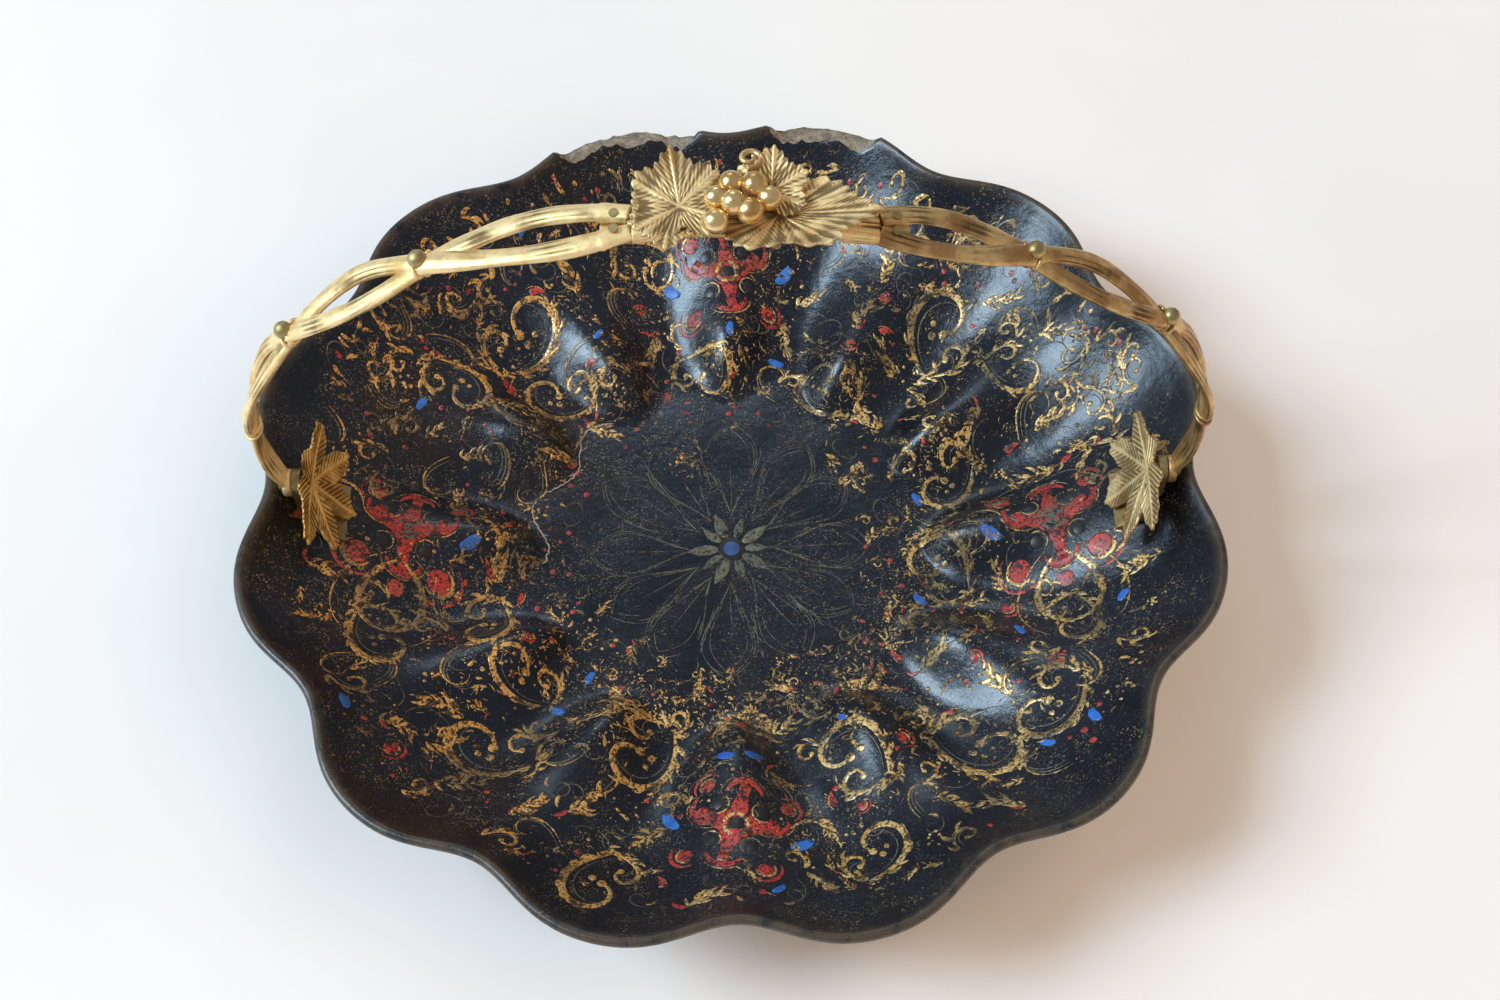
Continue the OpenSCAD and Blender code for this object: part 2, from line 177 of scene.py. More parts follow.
def wear(r, a):
    """Small unevenness of the moulded shell, which fades out at the rim and round the brackets."""
    x, y = r * np.cos(a), r * np.sin(a)
    near_bracket = np.exp(-((np.abs(x) - 130) ** 2 + y**2) / 24**2)
    calm = (1 - near_bracket) * smooth_step(r, 40, 66) * (1 - smooth_step(r, 136, 144))
    return calm * (0.5 * ripple(11, x / 16, y / 16) + 0.25 * ripple(12, x / 6, y / 6))


def inner_height(r, a):
    """Height of the dish's inner surface at radius r and angle a."""
    t = np.clip(wall_share(r, a), 0, 1)
    nose = 1 - (1 - np.minimum(t / NOSE_RUN, 1)) ** NOSE_POWER
    ridge = NOSE_H * nose + (WALL_RISE - NOSE_H) * t**WALL_POWER
    flute = WALL_RISE * t**FLUTE_POWER
    share = ((1 + np.cos(LOBES * a)) / 2) ** RIDGE_SHARP
    return FLOOR_T + share * ridge + (1 - share) * flute + wear(r, a)


# Two lobes of the back rim are broken: middle angle, half width in degrees, depth of the break
# up the inner wall as a share of the wall, and the same on the outer wall.
CHIPS = [(103.5, 10.0, 0.050, 0.020), (76.5, 7.5, 0.05, 0.012)]


def chip_depth(a, side):
    """How much of the wall is broken off at angle a, on the inner (0) or outer (1) side."""
    depth = np.zeros_like(a)
    for middle, half, inner, outer in CHIPS:
        off = np.abs((np.degrees(a) - middle + 180) % 360 - 180) / half
        ragged = 1 + 0.16 * ripple(21 + side, np.degrees(a) / 1.1) + 0.12 * ripple(23, np.degrees(a) / 0.35)
        depth = np.maximum(depth, (inner, outer)[side] * np.clip(1.25 * (1 - off**4), 0, 1) * ragged)
    return np.clip(depth, 0, 0.2)


DISH_COLUMNS = LOBES * 48
FLOOR_ROWS, WALL_ROWS, EDGE_ROWS, OUTER_ROWS = 14, 84, 8, 34
ROW_CROWDING = 1.15  # over 1, the rows crowd towards the foot of the wall
MIDDLE_HOLE = 0.02  # share of the floor's radius that one flat face closes
WALL, EDGE = 0, 1  # kinds of row


def dish_rows():
    """Rows of points from the middle of the floor, over the rim and back to the middle of the base."""
    a = circle(DISH_COLUMNS)
    degrees = np.degrees(a)
    broken = np.clip(chip_depth(a, 0) / 0.02, 0, 1)
    top_in, top_out = 1 - chip_depth(a, 0), 1 - chip_depth(a, 1)
    span = wall_end(a) - floor_edge(a)
    rows, kinds = [], []
    for f in np.linspace(MIDDLE_HOLE, 1, FLOOR_ROWS, endpoint=False):
        r = floor_edge(a) * f
        rows.append((r, inner_height(r, a)))
        kinds.append(WALL)
    for f in np.linspace(0, 1, WALL_ROWS):
        r = floor_edge(a) + f**ROW_CROWDING * top_in * span
        rows.append((r, inner_height(r, a)))
        kinds.append(WALL)
    inner_r, inner_z = rows[-1]
    outer_r, outer_z = outer_place(top_out, a, span)
    for f in np.linspace(0, 1, EDGE_ROWS + 2)[1:-1]:
        turn = EDGE_TURN + math.pi / 2 - f * math.pi
        round_r = rim_radius(a) - EDGE_R + EDGE_R * math.cos(turn)
        round_z = DISH_H - EDGE_R + EDGE_R * math.sin(turn)
        crumble = 0.35 * ripple(31, degrees / 0.5, f * 9) + 0.25 * ripple(32, degrees / 0.2, f * 21)
        rough_r = inner_r + (outer_r - inner_r) * f + crumble * 0.5
        rough_z = inner_z + (outer_z - inner_z) * f + crumble
        rows.append((round_r + (rough_r - round_r) * broken, round_z + (rough_z - round_z) * broken))
        kinds.append(EDGE)
    for f in np.linspace(1, 0, OUTER_ROWS):
        rows.append(outer_place(f**ROW_CROWDING * top_out, a, span))
        kinds.append(WALL)
    for share in (0.5, MIDDLE_HOLE):
        rows.append((floor_edge(a) * share, np.zeros_like(a)))
        kinds.append(WALL)
    points = np.array([np.stack([r * np.cos(a), r * np.sin(a), z], -1) for r, z in rows])
    return points, kinds, broken


def outer_place(t, a, span):
    """Radius and height of the shell's outer surface at a share t of the wall."""
    r = floor_edge(a) + t * span
    out = 2 * EDGE_R * math.cos(EDGE_TURN) * t
    down = FLOOR_T + (2 * EDGE_R * math.sin(EDGE_TURN) - FLOOR_T) * t
    return r + out, np.maximum(inner_height(r, a) - down, 0)


def make_dish(lacquer, pulp):
    """The shell in lacquer, with bare pulp where the rim is broken and a mark along the worn rim."""
    points, kinds, broken = dish_rows()
    rows, columns = points.shape[:2]
    slots = []
    for i in range(rows - 1):
        in_edge = EDGE in kinds[i:i + 2]
        slots += [int(in_edge and share > 0.5) for share in broken]
    slots += [0, 0]
    edge = np.zeros((rows, columns))
    edge[np.array(kinds) == EDGE] = 1
    first = kinds.index(EDGE)
    edge[first - 1] = 0.6
    edge[first - 2] = 0.25
    edge *= 1 - broken[None, :]
    mesh_object(
        "painted_dish", points.reshape(-1, 3), skin_faces(rows, columns), [lacquer, pulp],
        "dish", ["dish_shell"], {"edge": edge.ravel()}, slots,
    )


# ---- painted ornament
# Height of each colour's domed strokes over the lacquer. Where two cross, the higher one shows.
LIFTS = {
    "crack": 0.12, "line": 0.05, "red": 0.07, "blue": 0.075,
    "olive": 0.08, "gold": 0.10, "dark": 0.13, "centre": 0.17,
}
# Sections of a stroke: across in half widths, up in lifts. The last point is sunk in the lacquer.
THIN = ((-1, -0.2), (0, 1), (1, -0.2), (0, -2))
BROAD = ((-1, -0.2), (-0.86, 0.8), (0, 1), (0.86, 0.8), (1, -0.2), (0, -2))
BROAD_FROM = 0.9  # width from which a stroke has the broad section
PAINT_END, CHIP_MARGIN = 0.97, 1.5  # share of the wall that takes paint, less near a break
LONGEST_STEP, LARGEST_TURN = 0.9, 16  # mm and degrees from one point of a path to the next
QUARTERS = ("front_left", "front_right", "back_left", "back_right")
paint = {colour: Parts() for colour in LIFTS if colour != "gold"}
paint.update({"gold_" + quarter: Parts() for quarter in QUARTERS})


def layer(colour, x, y):
    """The mesh a stroke at (x, y) belongs to. Gold, the densest colour, is kept in four quarters."""
    if colour != "gold":
        return paint[colour]
    return paint["gold_" + QUARTERS[2 * int(y > 0) + int(x > 0)]]


def off_the_wall(r, a):
    """Whether some of these points are too near the rim or a break to be painted."""
    return np.any(wall_share(r, a) > PAINT_END - CHIP_MARGIN * chip_depth(a, 0))


def curl(x, y, heading, length, bend, last_bend=None):
    """A path from (x, y) that starts in a direction and bends by so many degrees a millimetre."""
    last_bend = bend if last_bend is None else last_bend
    step = min(LONGEST_STEP, LARGEST_TURN / max(abs(bend), abs(last_bend), 1))
    s = np.linspace(0, 1, max(int(length / step), 5) + 1)
    turn = np.radians(heading + length * (bend * s + (last_bend - bend) * s * s / 2))
    steps = polar(1, turn) * length / (len(s) - 1)
    return np.array([x, y]) + np.concatenate([[[0, 0]], np.cumsum((steps[1:] + steps[:-1]) / 2, 0)])


def arc(x, y, radius, start, end):
    """Part of a circle about (x, y), between two angles in degrees."""
    turn = np.radians(np.linspace(start, end, max(int(abs(end - start) / 14), 4) + 1))
    return [x, y] + polar(radius, turn)


def brush(colour, path, width, ends=(0.15, 0.15), peak=0.5):
    """A low, domed stroke of paint that follows the dish's surface along a path in plan."""
    path = np.asarray(path, float)
    r, a = radius_and_angle(path)
    if off_the_wall(r, a) or np.any(r < 0.5):
        return
    s = np.linspace(0, 1, len(path))
    rise = np.sin(np.minimum(s / peak, 1) * math.pi / 2)
    fall = np.sin(np.minimum((1 - s) / (1 - peak), 1) * math.pi / 2)
    half = width / 2 * np.where(s < peak, ends[0] + (1 - ends[0]) * rise, ends[1] + (1 - ends[1]) * fall)
    along = np.gradient(path, axis=0)
    along /= np.linalg.norm(along, axis=1)[:, None] + 1e-9
    across = np.stack([-along[:, 1], along[:, 0]], -1) * half[:, None]
    section = np.array(BROAD if width > BROAD_FROM else THIN)
    plan = path[:, None, :] + across[:, None, :] * section[None, :, :1]
    height = inner_height(*radius_and_angle(plan))
    lift = LIFTS[colour] * section[None, :, 1]
    skin = np.concatenate([plan, (height + lift)[..., None]], -1)
    layer(colour, *path.mean(0)).tube(skin, s.mean())


def dot(colour, x, y, radius, sides=9):
    """A round spot of paint: a low dome with a closed base."""
    ring = [x, y] + polar(radius, circle(sides))
    inner = ring * 0.88 + np.array([x, y]) * 0.12
    flat = np.concatenate([ring, inner, [[x, y]], [[x, y]]])
    r, a = radius_and_angle(flat)
    if off_the_wall(r, a):
        return
    lift = LIFTS[colour] * np.array([-0.2] * sides + [0.85] * sides + [1, -2])
    points = np.concatenate([flat, (inner_height(r, a) + lift)[:, None]], 1)
    top, bottom = 2 * sides, 2 * sides + 1
    faces = []
    for i in range(sides):
        k = (i + 1) % sides
        faces += [(i, k, sides + k, sides + i), (sides + i, sides + k, top), (k, i, bottom)]
    layer(colour, x, y).add(points, faces)


class Spot:
    """A place on the dish with its own axes u and v, as long as the motif's size."""

    def __init__(self, middle, u, v):
        self.middle, self.u, self.v = middle, u, v
        self.size = math.hypot(*v)

    def put(self, path):
        path = np.asarray(path, float).reshape(-1, 2)
        return self.middle + path[:, :1] * self.u + path[:, 1:] * self.v

    def stroke(self, colour, path, width, ends=(0.15, 0.15), peak=0.5):
        brush(colour, self.put(path), width * self.size, ends, peak)

    def dot(self, colour, x, y, radius, sides=9):
        dot(colour, *self.put([x, y])[0], radius * self.size, sides)

    def moved(self, x, y):
        return Spot(self.put([x, y])[0], self.u, self.v)

    def turned(self, degrees, hand=1):
        c, s = math.cos(math.radians(degrees)), math.sin(math.radians(degrees))
        return Spot(self.middle, (self.u * c + self.v * s) * hand, self.v * c - self.u * s)


def spot_at(r, degrees, turn=0.0, size=1.0, hand=1):
    """A spot whose u runs anticlockwise round the dish and v outwards, then turned."""
    a = math.radians(degrees)
    v = a + math.radians(turn)
    u = np.array([-math.sin(v), math.cos(v)]) * size * hand
    return Spot(r * np.array([math.cos(a), math.sin(a)]), u, size * np.array([math.cos(v), math.sin(v)]))


def way_at(path, k):
    """Heading of a path at its point k, in degrees."""
    ahead = path[min(k + 1, len(path) - 1)] - path[max(k - 1, 0)]
    return math.degrees(math.atan2(ahead[1], ahead[0]))


def comma(rng, spot, x, y, way, length, side, colour="gold"):
    """A comma-shaped dab: a fat head and a tail that curls to one side."""
    bend = side * rng.uniform(35, 95) / length
    spot.stroke(colour, curl(x, y, way, length, bend * 0.4, bend * 1.6), length * rng.uniform(0.26, 0.38),
                (0.45, 0.08), 0.3)


def leafage(rng, spot, size, count):
    """A clump of acanthus leaves: comma dabs that peel off a curved spine."""
    spine = curl(0, -size / 2, rng.uniform(60, 120), size, rng.uniform(-70, 70) / size)
    spot.stroke("gold", spine, 0.7, (0.7, 0.1), 0.3)
    for i in range(count):
        k = int((len(spine) - 2) * (i + 0.5) / count)
        side = -1 if i % 2 else 1
        way = way_at(spine, k) + side * rng.uniform(25, 75)
        comma(rng, spot, *spine[k], way, size * rng.uniform(0.24, 0.44), -side)
    if rng.random() < 0.4:
        comma(rng, spot, *spine[0], rng.uniform(0, 360), size * 0.4, 1, "red")


def scroll(rng, spot, x, y, heading, length, hand=1, width=1.9, leaves=4):
    """A C-scroll: a swelling stroke that rolls up round a ball, with leaves along its back."""
    path = curl(x, y, heading, length, hand * 30 / length, hand * 590 / length)
    spot.stroke("gold", path, width, (0.2, 0.45), 0.42)
    spot.dot("gold", *path[-1], width * 0.65)
    inside = curl(x, y + hand * 1.5, heading, length * 0.72, hand * 60 / length, hand * 560 / length)
    spot.stroke("line", inside, 0.45)
    for i in range(leaves):
        k = int(len(path) * (0.02 + 0.68 * i / max(leaves, 1)))
        way = way_at(path, k) - hand * rng.uniform(25, 60)
        comma(rng, spot, *path[k], way, rng.uniform(3.2, 5.6), hand)


def red_ball(spot, x, y, open_to, radius=2.3):
    """A red ball in a gold crescent, inside a thin red arc."""
    spot.dot("red", x, y, radius, 14)
    spot.stroke("gold", arc(x, y, radius * 1.15, open_to + 70, open_to + 290), radius * 0.42, (0.1, 0.1))
    spot.stroke("red", arc(x, y, radius * 1.9, open_to + 90, open_to + 270), 1.0, (0.2, 0.2))


def flower_arm(arm, droop):
    """One arm of the cross flower: it narrows to a neck and ends in a crescent with a ball."""
    path = curl(0, 1.6, 90, 6.6, droop)
    arm.stroke("red", path, 4.2, (1.0, 0.34), 0.1)
    end = arm.moved(*path[-1]).turned(-way_at(path, len(path) - 1) + 90)
    end.stroke("red", arc(0, -1.6, 4.0, 18, 162), 1.7, (0.3, 0.3))
    end.stroke("red", [[0, -1], [0, 0.4], [0, 1.6]], 2.6, (0.8, 0.8))
    end.stroke("gold", arc(0, -1.9, 5.4, 20, 160), 0.5)
    arm.stroke("gold", arc(4.6, 4.4, 2.2, 120, 330), 0.6)
    arm.dot("dark", 4.7, 4.6, 1.5)


def cross_flower(rng, spot, looped):
    """The red cross-shaped flower round a gold ring, with four balls and perhaps a gold loop."""
    spot.dot("red", 0, 0, 4.0, 20)
    for quarter in range(4):
        droop = (0, -8, 0, 8)[quarter] + rng.uniform(-1.5, 1.5)
        flower_arm(spot.turned(90 * quarter + rng.uniform(-4, 4)), droop)
    for x, y in ((8.6, 8.2), (-8.8, 8.0), (9.0, -9.2), (-8.8, -9.6)):
        way = math.degrees(math.atan2(-y, -x))
        radius = rng.uniform(2.3, 2.8) if looped and y < 0 else rng.uniform(1.5, 1.9)
        red_ball(spot, x + rng.uniform(-0.6, 0.6), y, way, radius)
    spot.stroke("olive" if looped else "gold", arc(0, 0, 2.5, 0, 352), 1.0, (0.9, 0.9))
    spot.dot("olive" if looped else "dark", 0, 0, 1.7, 14)
    for hand in (1, -1):
        half = spot.turned(0, hand)
        half.stroke("blue", curl(12.0, -1.8, 20, 5.4, 8), 2.7, (0.35, 0.5))
        half.stroke("gold", curl(11, 3.5, 70, 12, -6, -26), 1.0, (0.3, 0.4))
        half.stroke("line", curl(2, 13, 20, 14, -4, -22), 0.45)
        if looped:
            half.stroke("gold", curl(0.8, -8.0, -35, 24, -3.0, -9.5), 1.7, (0.3, 0.3), 0.45)
            half.stroke("gold", curl(2.6, -6.6, -28, 27, -2.6, -6), 0.6)
    if looped:
        spot.dot("red", 0, -14, 2.0, 14)


def speckle(rng, spot, count, wide, high):
    """A cloud of small flecks and dashes, what is left of rubbed gilding."""
    for _ in range(count):
        x, y = rng.normal(0, wide), rng.normal(0, high)
        size = min(0.16 + rng.exponential(0.16), 0.8)
        if rng.random() < 0.5:
            spot.dot("gold", x, y, size, 6)
        else:
            way, bend = rng.uniform(0, 360), rng.normal(0, 25)
            spot.stroke("gold", curl(x, y, way, rng.uniform(0.8, 3.0), bend), size * 1.5)


def star_leaves(rng):
    """The star of olive leaves round the blue dot in the middle of the floor."""
    middle = spot_at(0.01, 0)
    middle.dot("dark", 0, 0, 4.7, 24)
    middle.dot("centre", 0, 0, 3.0, 20)
    for i in range(10):
        leaf = spot_at(4.4, 36 * i + rng.uniform(-5, 5))
        length = (7.6, 10.2)[i % 2]
        leaf.stroke("olive", curl(0, 0, 90, length, rng.uniform(-1, 1)), length * 0.42, (0.35, 0.05), 0.4)
        leaf.stroke("line", curl(0, 0, 90 + rng.uniform(-8, 8), 12, 0), 0.28)


def petal(rng, spot, reach, insets, width=8.6):
    """A long petal drawn in thin broken outlines, one inside another."""
    s = np.linspace(0, 1, 46)
    for inset in insets:
        for hand in (-1, 1):
            u = hand * (width - inset) * np.sin(math.pi * s**1.5) ** 0.8
            side = np.stack([u, reach * s + 1.2 * np.sin(4 * s) - inset * s], -1)
            for start in range(0, 45, 9):
                if rng.random() < (0.9 if inset == 0 else 0.55):
                    spot.stroke("line", side[start:start + 10], rng.uniform(0.26, 0.48), (0.5, 0.5))


def floor_flower(rng):
    """The thin-lined flower on the floor: twelve petals, with sprigs between them."""
    star_leaves(rng)
    for i in range(12):
        spot = spot_at(12.5, 30 * i + rng.uniform(-3, 3))
        petal(rng, spot, rng.uniform(34, 39), (0, 0.9, 2.6))
        spot.stroke("line", curl(0, 2, 90, rng.uniform(16, 26), rng.uniform(-0.6, 0.6)), 0.36)
        between = spot_at(22, 30 * i + 15)
        stem = curl(0, 0, 90, rng.uniform(16, 27), rng.uniform(-1, 1))
        between.stroke("line", stem, 0.4)
        for k in range(3, len(stem), 5):
            side = rng.choice([-1, 1])
            between.stroke("line", curl(*stem[k], 90 - side * 45, rng.uniform(2, 4.5), side * 20), 0.5)
        tip = spot_at(rng.uniform(48, 53), 30 * i + 15)
        tip.stroke("line", curl(0, 0, 0, 9, 4, 34), 0.45)
        tip.stroke("line", curl(0, 0, 180, 9, -4, -34), 0.45)


def crack(rng):
    """The fine pale crack along part of the floor's edge."""
    for start in range(128, 184, 4):
        turn = np.radians(np.linspace(start, start + 4.4, 7))
        r = floor_edge(turn) - 2.4 + rng.normal(0, 0.25, 7)
        path = polar(r, turn)
        brush("crack", path, rng.uniform(0.4, 0.65), (0.6, 0.6))
        if rng.random() < 0.5:
            brush("crack", curl(*path[3], rng.uniform(0, 360), rng.uniform(1.5, 4), 15), 0.35)


class Layout:
    """Scatters motifs over the wall, each in a free disc of its own."""

    def __init__(self, rng):
        self.rng, self.taken = rng, []

    def claim(self, r, degrees, radius, crowd=0.88):
        x, y = r * math.cos(math.radians(degrees)), r * math.sin(math.radians(degrees))
        if any(math.hypot(x - a, y - b) < (radius + c) * crowd for a, b, c in self.taken):
            return False
        self.taken.append((x, y, radius))
        return True

    def fill(self, motif, radius, tries, low=64, high=137):
        for _ in range(tries):
            r = math.sqrt(self.rng.uniform(low**2, high**2))
            degrees = self.rng.uniform(0, 360)
            if r < high - radius / 2 and self.claim(r, degrees, radius):
                size, hand = self.rng.uniform(0.85, 1.1), self.rng.choice([-1, 1])
                motif(self.rng, spot_at(r, degrees, self.rng.uniform(0, 360), size, hand))


def big_scroll(rng, spot):
    scroll(rng, spot, -6, -9, 10, 46, 1, 2.2, 7)
    scroll(rng, spot, -7, -8, 140, 22, -1, 1.6, 4)
    for x, y, radius in ((1.5, 0, 1.2), (3.6, 2.4, 0.9), (-1.2, 2.6, 0.7)):
        spot.dot("gold", x, y, radius)
    leafage(rng, spot.moved(-8, -8).turned(40), 9, 7)


def large_leafage(rng, spot):
    leafage(rng, spot, rng.uniform(11, 15), 10)
    spot.stroke("line", curl(-5, -5, 60, 16, 4, 14), 0.5)


def small_leafage(rng, spot):
    leafage(rng, spot, rng.uniform(5.5, 8), 7)


def small_scroll(rng, spot):
    scroll(rng, spot, -2, -4, 20, rng.uniform(14, 20), 1, 1.3, 3)


def long_strands(rng, spot):
    """Two or three thin lines that run side by side and roll up."""
    length, bend = rng.uniform(15, 30), rng.uniform(-1, 2)
    for i in range(rng.integers(2, 4)):
        colour = "gold" if i == 0 else "line"
        spot.stroke(colour, curl(-length / 3, 1.3 * i, 0, length - 2 * i, bend, 18), 0.85 - 0.15 * i)


def curlicue(rng, spot):
    spot.stroke("line", curl(0, -2, 0, 15, 6, 34), 0.5)
    comma(rng, spot, 0, -1, 180, 4, -1)


def red_comma(rng, spot):
    spot.stroke("red", curl(-2, 0, 0, 5.6, 12), 2.3, (0.7, 0.15), 0.3)
    spot.stroke("gold", curl(-2.2, -1.7, 0, 7, 13), 0.55)


def red_bud(rng, spot):
    red_ball(spot, 0, 0, rng.uniform(0, 360), rng.uniform(1.2, 1.9))


def blue_bud(rng, spot):
    spot.stroke("blue", curl(-2, 0, 0, 5.2, 8), 2.7, (0.4, 0.45))
    spot.stroke("line", curl(-2, -1.8, 10, 6, 12), 0.4)


def gold_scales(rng, spot):
    """A heap of small round gold dabs."""
    for _ in range(9):
        spot.dot("gold", rng.normal(0, 1.5), rng.normal(0, 1.5), rng.uniform(0.35, 0.75), 8)


def red_dot(rng, spot):
    spot.dot("red", 0, 0, rng.uniform(0.6, 1.15))


def floor_fringe(rng):
    """Gilding that laps onto the edge of the floor, most of it at the front and right."""
    for i in range(100):
        near = rng.uniform(195, 375) if i % 5 else rng.uniform(0, 360)
        turn, size, hand = rng.uniform(0, 360), rng.uniform(0.4, 0.7), rng.choice([-1, 1])
        spot = spot_at(rng.uniform(44, 68), near, turn, size, hand)
        (small_scroll, small_leafage, large_leafage, gold_scales)[i % 4](rng, spot)


def back_rim(rng, layout):
    """Scrolls and leaves close under the rim at the back, where the gilding goes highest."""
    motifs = ((small_scroll, 4.0), (small_leafage, 2.6), (small_scroll, 3.4), (curlicue, 2.6), (red_dot, 1.5))
    for i in range(500):
        motif, radius = motifs[i % len(motifs)]
        r, degrees = rng.uniform(120, 142), rng.uniform(18, 162)
        turn, size, hand = rng.uniform(0, 360), rng.uniform(0.8, 1.1), rng.choice([-1, 1])
        if layout.claim(r, degrees, radius, 0.62):
            motif(rng, spot_at(r, degrees, turn, size, hand))


# Motifs scattered over the wall: the radius each keeps free, and how often a place is tried.
SCATTER = (
    (big_scroll, 11, 60), (large_leafage, 7.5, 200), (long_strands, 6, 150), (small_scroll, 5.2, 420),
    (red_comma, 4, 150), (red_bud, 3.6, 90), (blue_bud, 3.4, 110), (small_leafage, 3.3, 1200),
    (gold_scales, 2.6, 300), (curlicue, 3.0, 700),
)
# The two flowers at the sides face the front, the others face the middle or the rim.
FLOWER_R, FLOWER_SIZE, FLOWER_TURNS = 104, 1.42, (98, 6, -100, 165)
SCROLL_R, SCROLL_SIZE = 106, 1.2
RIDGE_STEP = 360 / LOBES


def all_speckles(rng):
    """Rubbed gilding: on the wall at each ridge and valley, at the floor's edge, and in between."""
    for k in range(LOBES):
        ridge = RIDGE_STEP * k
        speckle(rng, spot_at(76, ridge + rng.uniform(-5, 5)), 120, 6, 7)
        speckle(rng, spot_at(104, ridge + RIDGE_STEP / 2 + rng.uniform(-6, 6)), 90, 10, 13)
    speckle(rng, spot_at(36, 112), 60, 3, 4)
    for middle in (205, 235, 265, 295, 325, 350):
        speckle(rng, spot_at(58, middle), 120, 12, 5)
    for _ in range(70):
        speckle(rng, spot_at(rng.uniform(66, 134), rng.uniform(0, 360)), 14, 4, 4)


def ornament():
    """Paints the whole dish: the large motifs take their places first, the small ones fill in."""
    rng = np.random.default_rng(5)
    floor_flower(rng)
    crack(rng)
    layout = Layout(rng)
    for quarter, turn in enumerate(FLOWER_TURNS):
        layout.claim(FLOWER_R, 90 * quarter, 18)
        cross_flower(rng, spot_at(FLOWER_R, 90 * quarter, turn, FLOWER_SIZE), quarter % 2 == 0)
    for middle in range(45, 360, 90):
        degrees = middle + rng.uniform(-6, 6)
        layout.claim(SCROLL_R, degrees, 13)
        turn, hand = rng.uniform(0, 360), rng.choice([-1, 1])
        big_scroll(rng, spot_at(SCROLL_R, degrees, turn, SCROLL_SIZE, hand))
    for motif, radius, tries in SCATTER:
        layout.fill(motif, radius, tries)
    layout.fill(red_dot, 1.5, 500, 50)
    floor_fringe(rng)
    all_speckles(rng)
    back_rim(rng, layout)


# ---- handle
ARCH_W, ARCH_H, ARCH_Z = 141.5, 95.0, 74.0
PIVOT_X, PIVOT_Z, EYE_R, EYE_T, EYE_HOLE = 137.0, 48.0, 4.3, 2.8, 1.55
STRAND_W, STRAND_T, STRAND_PART = 6.2, 3.2, 5.7
KNOT_S, LENS_L, KNOT_SPREAD, LAST_TURN, STRAND_START = 31.0, 50.0, 1.8, 155.0, 3.05
LEFT_JOINT, RIGHT_JOINT = 24.5, 39.5
STEM_W, STEM_T, STEM_DOWN, TONGUE_T, TONGUE_L = 10.0, 4.4, 0.5, 1.2, 9.0
STEM_TOP = STEM_T / 2 - STEM_DOWN
LEAF_T, LEAF_LEVEL, GRAPE_R = 1.3, 2.2, 3.4


def unit(v):
    return v / (np.linalg.norm(v, axis=-1, keepdims=True) + 1e-12)


def arch_top(x):
    return ARCH_Z + ARCH_H * np.sqrt(1 - (x / ARCH_W) ** 2)


def arch_up(x, z):
    return unit(np.stack([x / ARCH_W**2, 0 * x, np.maximum(z - ARCH_Z, 0) / ARCH_H**2], -1))


def bark(seed, turn, s, deep=1.0):
    """Relief of the cast vine's bark at an angle round it and a length along it, about -1 to 1."""
    grain = 0.55 * np.cos(9 * turn + 1.8 * np.sin(s / 11)) + 0.3 * np.cos(16 * turn - s / 7)
    lumps = 0.5 * ripple(seed, 1.6 * np.cos(turn), 1.6 * np.sin(turn), s / 3.2)
    return deep * (grain * (0.65 + 0.35 * np.sin(s / 4.3)) + lumps)


def sweep(parts, line, up, wide, thick, seed, deep=0.26, sides=26):
    """A bark-skinned oval rod along a line, with the sides' up direction given at each point."""
    line = np.asarray(line, float)
    along = unit(np.gradient(line, axis=0))
    up = unit(up - along * (up * along).sum(-1, keepdims=True))
    across = np.cross(up, along)
    s = np.concatenate([[0], np.cumsum(np.linalg.norm(np.diff(line, axis=0), axis=1))])
    turn = circle(sides)
    relief = bark(seed, turn[None, :], s[:, None])
    wide = np.broadcast_to(wide, s.shape)[:, None] / 2 + deep * relief
    thick = np.broadcast_to(thick, s.shape)[:, None] / 2 + deep * relief
    ring = line[:, None] + (wide * np.cos(turn))[..., None] * across[:, None]
    ring = ring + (thick * np.sin(turn))[..., None] * up[:, None]
    parts.tube(ring, (0.5 + 0.4 * relief).ravel())


def arm_line(joint_x, step=0.6):
    """Evenly spaced points up the arm's middle line from the hinge to the joint, and its normals."""
    low = np.linspace(0, 1, 40, endpoint=False)
    end = math.acos(joint_x / ARCH_W)
    turn = np.linspace(0, end, 400)
    x = np.concatenate([ARCH_W - (ARCH_W - PIVOT_X) * (1 - low) ** 2, ARCH_W * np.cos(turn)])
    z = np.concatenate([PIVOT_Z + (ARCH_Z - PIVOT_Z) * low, ARCH_Z + ARCH_H * np.sin(turn)])
    run = np.concatenate([[0], np.cumsum(np.hypot(np.diff(x), np.diff(z)))])
    s = np.arange(STRAND_START, run[-1], step)
    x, z = np.interp(s, run, x), np.interp(s, run, z)
    return s, np.stack([x, 0 * x, z], -1), arch_up(x, z), run[-1]


def strand_off(s, total):
    last = KNOT_S + 2 * LENS_L
    first = KNOT_SPREAD * np.sin(math.pi * s / KNOT_S)
    lens = -STRAND_PART * np.sin(math.pi * (s - KNOT_S) / LENS_L)
    end = -STRAND_PART * np.sin(math.radians(LAST_TURN) * (s - last) / (total - last))
    return np.where(s < KNOT_S, first, np.where(s < last, lens, end))


